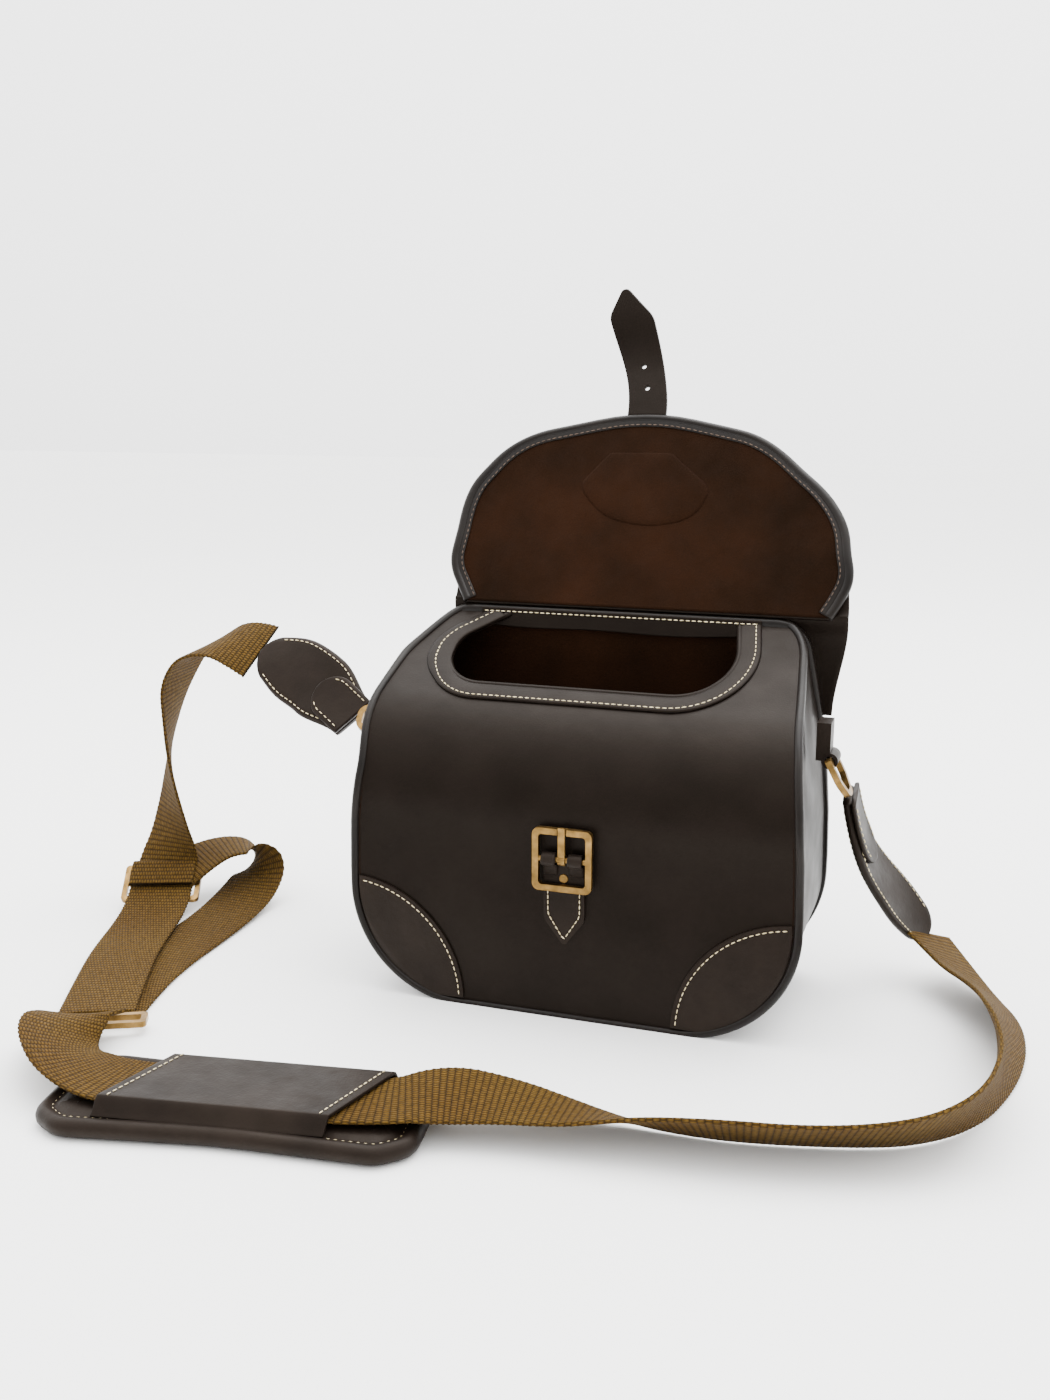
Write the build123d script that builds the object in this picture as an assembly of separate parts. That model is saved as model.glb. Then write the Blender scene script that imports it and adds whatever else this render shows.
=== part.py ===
from build123d import *
import math
import os

os.makedirs("parts", exist_ok=True)

# A leather shooting bag that stands open on a floor, with its webbing shoulder strap laid round it.
# X runs along the bag's width, the buckle side faces -Y and Z points up from the floor.

# Driving dimensions, in millimetres and degrees.
HALF_WIDTH = 131.5
HEIGHT = 219.5
DEPTH = 114.0
TOP_HALF_WIDTH = 113.0
WIDEST_Z = 84.0
LOWER_CORNER_R = 67.0
SIDE_R = 520.0
TOP_CORNER_R = 20.0
SLOPE = 28.9            # fall of the top panel towards the front
SHOULDER_R = 78.0       # bend from the top panel down to the front
LEATHER = 2.4
SUEDE = 1.0
PIPING = 2.0            # how far the piping stands out
PIPING_LAP = 3.0        # how far the piping laps onto each panel
GAP = 0.3               # clearance between moving bodies

FRONT_Y = -DEPTH / 2
BACK_Y = DEPTH / 2
FAR = 600.0             # longer than the bag, for cutting tools

MOUTH_BACK_HALF = 81.0
MOUTH_FRONT_HALF = 93.0
MOUTH_FRONT_Y = -9.0
MOUTH_CORNER_R = 34.0
FACING_WIDTH = 13.0
FACING = 1.5

PATCH_R = 71.0
PATCH = 1.4

BUCKLE_Z = 98.0
BUCKLE_BAR_Y = FRONT_Y - 6.7
BUCKLE_HALF_WIDTH = 17.4
BUCKLE_HALF_HEIGHT = 18.4
BUCKLE_BAR_R = 1.7
BUCKLE_SECTION = 3.6
CHAPE_HALF_WIDTH = 12.0
CHAPE = 2.6
CHAPE_TIP_Z = 45.0

LID_OPEN = 28.0         # how far the open lid leans back
HINGE_Y = 55.1
HINGE_Z = 224.0
RIVET_R = 3.0
RIVET_DROP = 11.8        # below the buckle's middle bar
LID_BEND_AT = 103.0      # along the lid, from its hinge
LID_LENGTH = 133.0
LID_PATCH_AT = 77.0
LID_PATCH_HALF_WIDTH = 42.0
LID_PATCH_HALF_HEIGHT = 24.0
LID_PATCH = 1.2
LID_LEATHER = 2.2
LID_SUEDE = 1.2
STRAP_HALF_WIDTH = 12.5
STRAP_LENGTH = 82.0
STRAP_HOLES = (15.0, 31.0)   # from the base of the strap
STRAP = 2.4

RING_Y = 15.0
RING_Z = 149.0
WIRE = 3.6
RING_HALF_WIDTH = 13.0
RING_REACH = 24.0
LEFT_RING_ROLL = 50.0   # the left tab and ring are twisted by the strap that stands up from them
LEFT_RING_LEAN = 8.0
RIGHT_RING_LEAN = -62.0

WEBBING_WIDTH = 43.0
WEBBING = 2.2


def save(name, shape):
    """Write one sub-part, and report its volume."""
    export_step(shape, f"parts/{name}.step")
    print(f"{name:20s} {shape.volume:10.1f} mm3")


def outline(points, radii, plane):
    """A closed face with straight sides and one radius for each corner, on a plane through the origin."""
    with BuildSketch(plane) as sketch:
        with BuildLine():
            FilletPolyline(*points, radius=radii, close=True)
        make_face()
    return sketch.sketch.face()


def grown(points, radii, grow, plane):
    """The outline of a convex shape, given anticlockwise, with every side moved outwards."""
    sides = []
    for (x0, y0), (x1, y1) in zip(points, points[1:] + points[:1]):
        length = math.hypot(x1 - x0, y1 - y0)
        nx, ny = (y1 - y0) / length, (x0 - x1) / length
        sides.append((nx, ny, nx * x0 + ny * y0 + grow))
    corners = []
    for (a0, b0, c0), (a1, b1, c1) in zip(sides[-1:] + sides[:-1], sides):
        cross = a0 * b1 - a1 * b0
        corners.append(((c0 * b1 - c1 * b0) / cross, (a0 * c1 - a1 * c0) / cross))
    return outline(corners, [r + grow if r else 0 for r in radii], plane)


def prism(face, half_length):
    """A face extruded the same way to both sides."""
    return extrude(face, amount=half_length, both=True)


def block(low, high):
    """A box from its lowest corner to its highest."""
    size = [b - a for a, b in zip(low, high)]
    centre = [(a + b) / 2 for a, b in zip(low, high)]
    return Pos(*centre) * Box(*size)


# ---------------------------------------------------------------- the bag's body


def front_view(grow):
    """Solid along Y with the bag's front outline, grown by a distance."""
    points = [
        (-HALF_WIDTH, 0),
        (HALF_WIDTH, 0),
        (HALF_WIDTH, WIDEST_Z * 1.6),
        (TOP_HALF_WIDTH, HEIGHT),
        (-TOP_HALF_WIDTH, HEIGHT),
        (-HALF_WIDTH, WIDEST_Z * 1.6),
    ]
    radii = [LOWER_CORNER_R, LOWER_CORNER_R, SIDE_R, TOP_CORNER_R, TOP_CORNER_R, SIDE_R]
    return prism(grown(points, radii, grow, Plane.XZ), FAR / 2)


def side_view(grow):
    """Solid along X with the bag's side outline, grown by a distance."""
    shoulder_z = HEIGHT - DEPTH * math.tan(math.radians(SLOPE))
    points = [(BACK_Y, 0), (BACK_Y, HEIGHT), (FRONT_Y, shoulder_z), (FRONT_Y, 0)]
    return prism(grown(points, [0, 0, SHOULDER_R, 0], grow, Plane.YZ), FAR / 2)


def bag_solid(grow):
    """The whole bag as one block, grown by a distance."""
    return front_view(grow) & side_view(grow)


def wall_pieces(inset, thickness):
    """The front, side and back walls of one layer that starts at an inset."""
    inner = inset + thickness
    whole = bag_solid(-inset)
    back = whole & block((-FAR, BACK_Y - inner, -FAR), (FAR, FAR, FAR))
    front = whole - side_view(-inner) - back
    front -= block((-FAR, FRONT_Y + inner, -FAR), (FAR, FAR, inner))
    side = whole - front_view(-inner) - front - back
    return front, side, back


def mouth_prism(grow):
    """Upright solid with the mouth's D outline, open to the back panel."""
    back = BACK_Y - LEATHER
    points = [
        (-MOUTH_BACK_HALF - grow, back),
        (-MOUTH_FRONT_HALF - grow, MOUTH_FRONT_Y - grow),
        (MOUTH_FRONT_HALF + grow, MOUTH_FRONT_Y - grow),
        (MOUTH_BACK_HALF + grow, back),
    ]
    radius = MOUTH_CORNER_R + grow
    face = outline(points, [0, radius, radius, 0], Plane.XY)
    return extrude(Pos(0, 0, HEIGHT / 2) * face, amount=FAR / 2)


def make_body():
    """Leather panels and their suede linings, with the mouth cut through."""
    mouth = mouth_prism(0)
    front, side, back = wall_pieces(0, LEATHER)
    save("front_panel", front - mouth)
    save("gusset", side)
    save("back_panel", back)
    front, side, back = wall_pieces(LEATHER, SUEDE)
    save("front_lining", front - mouth)
    save("gusset_lining", side)
    save("back_lining", back)


def make_piping():
    """A bead over the edge of the front panel and a binding over the edge of the back panel."""
    bead = bag_solid(PIPING) - bag_solid(0)
    bead = bead - front_view(-PIPING_LAP) - side_view(-PIPING_LAP)
    bead &= block((-FAR, -FAR, 0), (FAR, FAR, FAR))
    split_y = BACK_Y - PIPING_LAP - 1
    top_front = block((-FAR, -FAR, 0), (FAR, split_y, FAR))
    w = TOP_HALF_WIDTH - 2 * PIPING_LAP
    over_mouth = block((-w, BACK_Y - 4 * PIPING_LAP, HEIGHT * 0.9), (w, FAR, FAR))
    save("front_piping", (bead & top_front) - over_mouth)
    save("back_binding", bead - top_front)


def make_facing():
    """The stitched leather band round the mouth."""
    band = side_view(FACING) - side_view(0)
    band &= mouth_prism(FACING_WIDTH) - mouth_prism(0)
    band &= block((-FAR, -FAR, HEIGHT / 2), (FAR, BACK_Y - PIPING_LAP - 1.5, FAR))
    save("mouth_facing", band & front_view(-PIPING_LAP - GAP))


def make_corner_patches():
    """Quarter-round leather patches over the lower corners of the front."""
    inside = front_view(-PIPING_LAP - GAP)
    slab = block((-FAR, FRONT_Y - PATCH, 0), (FAR, FRONT_Y, HEIGHT / 2))
    for name, side in (("corner_patch_left", -1), ("corner_patch_right", 1)):
        rounded = Pos(side * (HALF_WIDTH + 2), FRONT_Y, 2) * Rot(90, 0, 0) * Cylinder(PATCH_R, 20)
        save(name, slab & rounded & inside)


# ---------------------------------------------------------------- the front buckle


def make_buckle_chape():
    """The pointed tongue that is sewn to the front and rolled round the buckle's bar."""
    tip = [
        (-CHAPE_HALF_WIDTH, BUCKLE_Z - 3),
        (-CHAPE_HALF_WIDTH, CHAPE_TIP_Z + 16),
        (0, CHAPE_TIP_Z),
        (CHAPE_HALF_WIDTH, CHAPE_TIP_Z + 16),
        (CHAPE_HALF_WIDTH, BUCKLE_Z - 3),
    ]
    tongue = outline(tip, [0, 8, 2, 8, 0], Plane.XZ)
    tongue = extrude(Pos(0, FRONT_Y, 0) * tongue, amount=CHAPE)
    bore_r = BUCKLE_BAR_R + GAP
    roll_r = bore_r + 2.0
    along_x = Pos(0, BUCKLE_BAR_Y, BUCKLE_Z) * Rot(0, 90, 0)
    roll = along_x * Cylinder(roll_r, 2 * CHAPE_HALF_WIDTH)
    neck = block((-CHAPE_HALF_WIDTH, BUCKLE_BAR_Y, BUCKLE_Z - roll_r), (CHAPE_HALF_WIDTH, FRONT_Y, BUCKLE_Z))
    chape = tongue + roll + neck
    chape -= along_x * Cylinder(bore_r, FAR)
    slot = block((-3.4, BUCKLE_BAR_Y - 6, BUCKLE_Z - 6), (3.4, BUCKLE_BAR_Y + 4, BUCKLE_Z + 6))
    save("buckle_chape", chape - slot)


def make_chape_rivet():
    """The domed rivet below the buckle."""
    centre = (0, FRONT_Y - CHAPE, BUCKLE_Z - RIVET_DROP)
    dome = Pos(*centre) * Sphere(RIVET_R)
    dome &= block((-5, FRONT_Y - CHAPE - 1.8, 0), (5, FRONT_Y - CHAPE, HEIGHT))
    save("chape_rivet", dome)


def make_buckle_frame():
    """Square brass frame with a centre bar and a notch for the prong."""
    w, h, s = BUCKLE_HALF_WIDTH, BUCKLE_HALF_HEIGHT, BUCKLE_SECTION
    outer = outline([(-w, -h), (w, -h), (w, h), (-w, h)], [4] * 4, Plane.XZ)
    hole = outline([(s - w, s - h), (w - s, s - h), (w - s, h - s), (s - w, h - s)], [2] * 4, Plane.XZ)
    ring = prism(outer, s / 2) - prism(hole, s)
    bar = Rot(0, 90, 0) * Cylinder(BUCKLE_BAR_R, 2 * w - s)
    notch = block((-2.8, -s, h - s - 1), (2.8, -s / 2 + 1.2, h + 1))
    save("buckle_frame", Pos(0, BUCKLE_BAR_Y, BUCKLE_Z) * (ring + bar - notch))


def make_buckle_prong():
    """Prong that turns on the centre bar and rests in the notch of the top bar."""
    eye_r = BUCKLE_BAR_R + GAP / 3
    eye = Rot(0, 90, 0) * (Cylinder(eye_r + 1.3, 4) - Cylinder(eye_r, 5))
    s = BUCKLE_SECTION
    front = -s / 2 - 0.9
    tongue = block((-2, front, 2.2), (2, front + 1.9, BUCKLE_HALF_HEIGHT + 1))
    save("buckle_prong", Pos(0, BUCKLE_BAR_Y, BUCKLE_Z) * (eye + tongue))


# ---------------------------------------------------------------- the lid

LID_TURN = Pos(0, HINGE_Y, HINGE_Z) * Rot(-LID_OPEN, 0, 0)


def lid_slab(behind, front, low, high):
    """Part of the lid's rounded outline, between two depths and two distances from the hinge."""
    corners = [
        (-113, 3),
        (113, 3),
        (128, 22),
        (127, 72),
        (86, 118),
        (0, LID_LENGTH + 3),
        (-86, 118),
        (-127, 72),
        (-128, 22),
    ]
    radii = [4, 4, 30, 62, 70, 150, 70, 62, 30]
    face = outline(corners, radii, Plane.XZ)
    slab = extrude(Pos(0, behind, 0) * face, amount=behind - front)
    return slab & block((-FAR, -FAR, low), (FAR, FAR, high))


def make_lid():
    """The lid in two rigid halves, each leather with a suede lining, standing open."""
    half = (LID_LEATHER + LID_SUEDE) / 2
    seam = half - LID_LEATHER
    spans = (("lid_rear", 0, LID_BEND_AT - 2 * GAP), ("lid_front", LID_BEND_AT + 2 * GAP, FAR))
    for name, low, high in spans:
        save(name, LID_TURN * lid_slab(half, seam, low, high))
        save(name + "_lining", LID_TURN * lid_slab(seam, -half, low, high))
    w, h = LID_PATCH_HALF_WIDTH, LID_PATCH_HALF_HEIGHT
    patch = outline([(-w, -h), (w, -h), (w, h), (-w, h)], [h - 2] * 4, Plane.XZ)
    patch = extrude(Pos(0, -half, LID_PATCH_AT) * patch, amount=LID_PATCH)
    save("lid_patch", LID_TURN * patch)


def make_closing_strap():
    """The strap on the lid's front edge, with two punched holes."""
    length = STRAP_LENGTH
    start = LID_LENGTH + 1.5
    w = STRAP_HALF_WIDTH
    points = [(-w, 0), (w, 0), (w, length - 14), (0, length), (-w, length - 14)]
    face = outline(points, [0, 0, 10, 3, 10], Plane.XZ)
    strap = extrude(Pos(0, STRAP / 2, start) * face, amount=STRAP)
    for hole_at in STRAP_HOLES:
        strap -= Pos(0, 0, start + hole_at) * Rot(90, 0, 0) * Cylinder(2.2, 10)
    save("closing_strap", LID_TURN * strap)


# ---------------------------------------------------------------- rings on the sides


def make_rings():
    """Sewn tab with a roll, and the D-ring that hangs in it, on each side."""
    bore_r = WIRE * math.sqrt(0.5) + GAP
    bar_x = HALF_WIDTH + PIPING + 3.0
    tab = Rot(90, 0, 0) * Cylinder(bore_r + 1.8, 16)
    tab += block((HALF_WIDTH - 3 - bar_x, -8, 0), (0, 8, 22))
    tab -= Rot(90, 0, 0) * Cylinder(bore_r, FAR)
    sides = (("left", LEFT_RING_ROLL, LEFT_RING_LEAN), ("right", 0, RIGHT_RING_LEAN))
    for name, roll, lean in sides:
        place = Pos(bar_x, RING_Y, RING_Z) * Rot(roll, 0, 0)
        pair = [place * tab - front_view(0), place * Rot(0, -lean, 0) * d_ring()]
        if name == "left":
            pair = [mirror(piece, Plane.YZ) for piece in pair]
        save(f"ring_tab_{name}", pair[0])
        save(f"d_ring_{name}", pair[1])


def d_ring():
    """A D-ring in its own axes: straight bar along Y through the origin, bow towards +X."""
    a, r = RING_HALF_WIDTH, RING_REACH
    wire = WIRE / 2
    bow = [(-wire, -a), (r * 0.55, -a), (r, -a * 0.45), (r, a * 0.45), (r * 0.55, a), (-wire, a)]
    outer = outline(bow, [1, 8, 7, 7, 8, 1], Plane.XY)
    hole = grown(bow, [0, 8, 7, 7, 8, 0], -WIRE, Plane.XY)
    return prism(outer, wire) - prism(hole, WIRE)


# ---------------------------------------------------------------- flat straps

# Each route is a list of (point, direction across the strap), set by hand from one end to the other.


def smooth(route, rounds=2):
    """Cut the corners of a route twice, which draws it towards a quadratic curve."""
    for _ in range(rounds):
        cut = [route[0]]
        for one, two in zip(route, route[1:]):
            for share in (0.25, 0.75):
                point = one[0] + (two[0] - one[0]) * share
                across = one[1] + (two[1] - one[1]) * share
                cut.append((point, across))
        cut.append(route[-1])
        route = cut
    return route


def ribbon(route, widths, thickness):
    """A closed flat strap along a route: widths are (share of the length, width) pairs."""
    route = smooth([(Vector(*p), Vector(*w).normalized()) for p, w in route])
    count = len(route)
    corners = []
    for i, (point, across) in enumerate(route):
        ahead = (route[min(i + 1, count - 1)][0] - route[max(i - 1, 0)][0]).normalized()
        across = (across - ahead * across.dot(ahead)).normalized()
        normal = ahead.cross(across)
        half = width_at(widths, i / (count - 1)) / 2
        ring = [
            point + across * half + normal * (thickness / 2),
            point - across * half + normal * (thickness / 2),
            point - across * half - normal * (thickness / 2),
            point + across * half - normal * (thickness / 2),
        ]
        corners.append(ring)
    faces = cap(corners[0][::-1]) + cap(corners[-1])
    for one, two in zip(corners, corners[1:]):
        for a in range(4):
            b = (a + 1) % 4
            faces.append(triangle(one[a], one[b], two[b]))
            faces.append(triangle(one[a], two[b], two[a]))
    solid = Solid(Shell(faces))
    return solid if solid.volume > 0 else Solid(Shell([-f for f in faces]))


def width_at(widths, share):
    """Width between the two stated shares of the length that a share lies between."""
    for (s0, w0), (s1, w1) in zip(widths, widths[1:]):
        if share <= s1:
            return w0 + (w1 - w0) * (share - s0) / (s1 - s0)
    return widths[-1][1]


def triangle(a, b, c):
    """One flat three-sided face."""
    return Face(Wire.make_polygon([a, b, c], close=True))


def cap(ring):
    """The two triangles that close a strap's end."""
    return [triangle(ring[0], ring[1], ring[2]), triangle(ring[0], ring[2], ring[3])]


LEFT_CHAPE_ROUTE = [
    ((-165, 17, 148), (0.0, 0.6, 0.8)),
    ((-182, 22, 160), (0.0, 0.55, 0.83)),
    ((-207, 29, 175), (0.05, 0.45, 0.89)),
    ((-239, 33, 185), (0.1, 0.45, 0.89)),
]

RIGHT_CHAPE_ROUTE = [
    ((146, 29, 124), (0.0, -1.0, 0.0)),
    ((149, 33, 106), (0.0, -1.0, 0.0)),
    ((159, 43, 80), (-0.2, -0.97, 0.1)),
    ((176, 57, 53), (-0.45, -0.85, 0.25)),
    ((194, 70, 28), (-0.7, -0.6, 0.4)),
]

# Left chape, over the arch, down with half a twist, through the slider and flat to the strap ring.
UPPER_ROUTE = [
    ((-239.5, 33, 185.2), (0.1, 0.45, 0.89)),
    ((-258, 34, 192), (0.05, 0.75, 0.6)),
    ((-277, 36, 188), (0.0, 0.98, 0.15)),
    ((-296, 38, 179), (0.0, 1.0, 0.0)),
    ((-308, 39, 161), (0.0, 1.0, 0.0)),
    ((-314, 40, 140), (-0.25, 0.96, 0.0)),
    ((-318, 40, 116), (-0.45, 0.89, 0.0)),
    ((-320, 41, 92), (-0.62, 0.78, 0.0)),
    ((-321, 42, 68), (-0.8, 0.6, 0.0)),
    ((-322, 42, 46), (-0.93, 0.3, 0.0)),
    ((-322, 36, 29), (-0.96, -0.2, 0.0)),
    ((-318, 20, 18), (-0.934, -0.358, 0.0)),
    ((-311, 1, 9.5), (-0.934, -0.358, 0.0)),
    ((-303, -26, 6), (-0.934, -0.358, 0.0)),
    ((-291, -64, 6), (-0.93, -0.36, 0.0)),
    ((-275, -102, 6), (-0.92, -0.39, 0.0)),
    ((-253, -150, 6), (-0.91, -0.42, 0.0)),
]

# From under the strap ring along the floor, then curling over and back to the slider.
SLACK_ROUTE = [
    ((-250, -150, 1.8), (-0.91, -0.42, 0.0)),
    ((-261, -108, 1.8), (-0.96, -0.28, 0.0)),
    ((-266, -64, 1.8), (-1.0, -0.05, 0.0)),
    ((-266, -24, 1.8), (-1.0, 0.0, 0.0)),
    ((-266, 14, 3), (-1.0, 0.05, 0.0)),
    ((-266, 46, 8), (-0.97, 0.2, 0.05)),
    ((-266, 68, 20), (-0.85, 0.45, 0.1)),
    ((-274, 74, 33), (-0.75, 0.65, 0.0)),
    ((-289, 63, 36), (-0.75, 0.65, 0.0)),
    ((-303, 48, 31), (-0.9, 0.3, 0.0)),
    ((-314, 31, 24.5), (-0.93, -0.36, 0.0)),
]

# From the strap ring, curling over and through the pad, then round the floor to the right chape.
LOWER_ROUTE = [
    ((-242, -162, 10), (-0.91, -0.42, 0.0)),
    ((-246, -172, 16), (-0.9, -0.42, 0.05)),
    ((-251, -184, 20), (-0.78, -0.58, 0.2)),
    ((-250, -199, 20), (-0.5, -0.75, 0.42)),
    ((-238, -213, 18), (-0.2, -0.88, 0.42)),
    ((-219, -224, 16.5), (-0.05, -0.97, 0.2)),
    ((-185, -231, 15), (-0.156, -0.988, 0.0)),
    ((-150, -225.5, 15), (-0.156, -0.988, 0.0)),
    ((-116, -220, 15), (-0.156, -0.988, 0.0)),
    ((-82, -214.5, 15), (-0.156, -0.988, 0.0)),
    ((-50, -209, 15), (-0.156, -0.988, 0.0)),
    ((-20, -196, 19), (-0.12, -0.96, -0.2)),
    ((10, -189, 17), (-0.1, -0.98, 0.0)),
    ((38, -186, 14), (-0.08, -0.97, 0.2)),
    ((60, -184, 13), (-0.03, -0.9, 0.4)),
    ((81, -183, 13.7), (0.0, -0.82, 0.57)),
    ((115, -181, 15.3), (0.05, -0.76, 0.65)),
    ((150, -174.5, 15.2), (0.16, -0.75, 0.64)),
    ((183, -165, 16), (0.2, -0.71, 0.67)),
    ((206, -154, 17.5), (0.34, -0.58, 0.74)),
    ((224, -136, 20), (0.36, -0.38, 0.85)),
    ((236, -108, 22.5), (0.15, -0.1, 0.98)),
    ((239.5, -76, 22.6), (-0.2, 0.05, 0.98)),
    ((240, -46, 20.5), (-0.5, 0.05, 0.86)),
    ((238.5, -16, 17.5), (-0.68, -0.05, 0.73)),
    ((233, 12, 14.8), (-0.78, -0.18, 0.6)),
    ((221, 36, 13.8), (-0.77, -0.35, 0.54)),
    ((209, 54, 19), (-0.74, -0.48, 0.5)),
    ((194.5, 70, 27.6), (-0.7, -0.6, 0.4)),
]

LEAF_WIDTHS = [(0, 26), (0.25, 38), (0.5, 44), (0.8, 40), (1, 26)]
PLAIN_WIDTHS = [(0, WEBBING_WIDTH), (1, WEBBING_WIDTH)]
CHAPE_LAYERS = 5.0


def print_strap(name, route):
    """Report a strap's length."""
    points = [point for point, across in smooth([(Vector(*p), Vector(*w)) for p, w in route])]
    length = sum((b - a).length for a, b in zip(points, points[1:]))
    print(f"{name} is {length:.0f} mm long")


def make_straps():
    """Leather chapes at the rings, and the three runs of webbing between them."""
    save("strap_chape_left", ribbon(LEFT_CHAPE_ROUTE, LEAF_WIDTHS, CHAPE_LAYERS))
    save("strap_chape_right", ribbon(RIGHT_CHAPE_ROUTE, LEAF_WIDTHS, CHAPE_LAYERS))
    runs = (("webbing_upper", UPPER_ROUTE), ("webbing_slack", SLACK_ROUTE), ("webbing_lower", LOWER_ROUTE))
    for name, route in runs:
        save(name, ribbon(route, PLAIN_WIDTHS, WEBBING))
        print_strap(name, route)


# ---------------------------------------------------------------- hardware on the strap

RUN_HEADING = math.degrees(math.atan2(-0.934, 0.358))
RING_HEADING = math.degrees(math.atan2(-0.905, 0.427))


def flat_frame(half_across, half_along, section, bars):
    """A flat brass frame in its own axes, with straight bars across it."""
    a, b = half_along, half_across
    outer = outline([(-a, -b), (a, -b), (a, b), (-a, b)], [3] * 4, Plane.XY)
    s = section
    hole = outline([(s - a, s - b), (a - s, s - b), (a - s, b - s), (s - a, b - s)], [1.2] * 4, Plane.XY)
    frame = prism(outer, s / 2) - prism(hole, s)
    for along in bars:
        frame += Pos(along, 0, 0) * Rot(90, 0, 0) * Cylinder(s / 2, 2 * b - s)
    return frame


def make_strap_hardware():
    """Three-bar slider on the upper run, and the rectangular ring at its end."""
    slider = flat_frame(WEBBING_WIDTH / 2 + 5, 15, 3.4, [0])
    save("slider", Pos(-318, 20, 18) * Rot(0, 0, RUN_HEADING) * Rot(0, 34, 0) * slider)
    ring = flat_frame(WEBBING_WIDTH / 2 + 5, 7, 3.4, [])
    save("strap_ring", Pos(-243, -161, 7) * Rot(0, 0, RING_HEADING) * ring)


PAD_CENTRE = (-118, -220.3)
PAD_TURN = 9.0
PAD_BASE = 6.0
PAD_FOAM = 6.0
TUNNEL = 5.0
LOOP_LEATHER = 2.2


def pad_place(z):
    """Position of the pad's own axes on the floor, raised by z."""
    return Pos(PAD_CENTRE[0], PAD_CENTRE[1], z) * Rot(0, 0, PAD_TURN)


def make_pad():
    """Shoulder pad: leather base, foam, and the loop panel that the webbing runs under."""
    base = [
        (-96, -24),
        (-80, -35.5),
        (0, -31),
        (80, -35.5),
        (96, -24),
        (96, 24),
        (80, 35.5),
        (0, 31),
        (-80, 35.5),
        (-96, 24),
    ]
    radii = [16, 18, 260, 18, 16, 16, 18, 260, 18, 16]
    face = outline(base, radii, Plane.XY)
    save("pad_base", pad_place(0) * extrude(face, amount=PAD_BASE))
    foam = offset(face, amount=-5, kind=Kind.INTERSECTION).face()
    save("pad_foam", pad_place(PAD_BASE) * extrude(foam, amount=PAD_FOAM))
    half_length, half_width = 59.0, 31.0
    panel = block((-half_length, -half_width, 0), (half_length, half_width, TUNNEL + LOOP_LEATHER))
    inside = WEBBING_WIDTH / 2 + 1
    inner = block((-FAR, -inside, -1), (FAR, inside, TUNNEL))
    save("pad_loop", pad_place(PAD_BASE + PAD_FOAM) * (panel - inner))


make_body()
make_piping()
make_facing()
make_corner_patches()
make_buckle_chape()
make_chape_rivet()
make_buckle_frame()
make_buckle_prong()
make_lid()
make_closing_strap()
make_rings()
make_straps()
make_strap_hardware()
make_pad()
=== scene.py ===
import bmesh
import bpy
import math
from mathutils import Matrix, Vector, noise


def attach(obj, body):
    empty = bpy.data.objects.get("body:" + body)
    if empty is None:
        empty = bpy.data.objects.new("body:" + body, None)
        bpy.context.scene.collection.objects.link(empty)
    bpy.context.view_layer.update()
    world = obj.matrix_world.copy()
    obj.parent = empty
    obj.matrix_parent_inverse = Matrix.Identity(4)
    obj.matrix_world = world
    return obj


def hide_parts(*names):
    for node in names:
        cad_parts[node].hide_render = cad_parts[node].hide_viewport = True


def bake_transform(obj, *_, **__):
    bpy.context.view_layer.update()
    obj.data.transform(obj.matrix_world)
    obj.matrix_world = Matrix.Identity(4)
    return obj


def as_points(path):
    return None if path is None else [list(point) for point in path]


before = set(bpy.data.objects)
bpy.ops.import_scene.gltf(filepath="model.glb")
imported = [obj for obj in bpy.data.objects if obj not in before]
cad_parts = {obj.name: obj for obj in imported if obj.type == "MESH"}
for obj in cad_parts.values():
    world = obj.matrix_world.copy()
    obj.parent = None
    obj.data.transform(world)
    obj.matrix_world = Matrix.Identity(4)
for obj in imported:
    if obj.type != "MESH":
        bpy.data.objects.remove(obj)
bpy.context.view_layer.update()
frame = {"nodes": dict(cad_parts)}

# A dark leather shooting bag with an open lid and a webbing shoulder strap laid round it on the floor.
# Pieces are shaped in millimetres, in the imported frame, and turned to metres when they are finished.
MM = 0.001

HALF_WIDTH = 131.5
HEIGHT = 219.5
TOP_HALF_WIDTH = 113.0
WIDEST_Z = 134.4
FRONT_Y = -57.0
BACK_Y = 57.0
SLOPE = math.radians(28.9)
SHOULDER_R = 78.0
LEATHER = 2.4
SUEDE = 1.0
BEAD_R = 2.5            # piping over the front seam
BULGE = 1.4             # how far the front leather swells between its seams

LID_LEAN = math.radians(28)
HINGE = Vector((0, 55.1, 224.0))
STITCH_PITCH = 3.7
STITCH_LENGTH = 2.8
STITCH_R = 0.36
WEBBING_WIDTH = 43.0
WEBBING = 2.2
RIB = 3.3               # spacing of the webbing's ribs along its length
RIB_ACROSS = 1.9        # spacing of its warp cords across its width

# ---------------------------------------------------------------- colours and nodes


def linear(hex_colour):
    """Linear RGBA from an sRGB hex colour."""
    values = [int(hex_colour[i:i + 2], 16) / 255 for i in (0, 2, 4)]
    return [v / 12.92 if v <= 0.04045 else ((v + 0.055) / 1.055) ** 2.4 for v in values] + [1.0]


def add(tree, kind, inputs=None, **settings):
    """Add one node with its settings, then set or link its inputs."""
    node = tree.nodes.new(kind)
    for key, value in settings.items():
        setattr(node, key, value)
    for key, value in (inputs or {}).items():
        if isinstance(value, bpy.types.NodeSocket):
            tree.links.new(value, node.inputs[key])
        else:
            node.inputs[key].default_value = value
    return node


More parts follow.
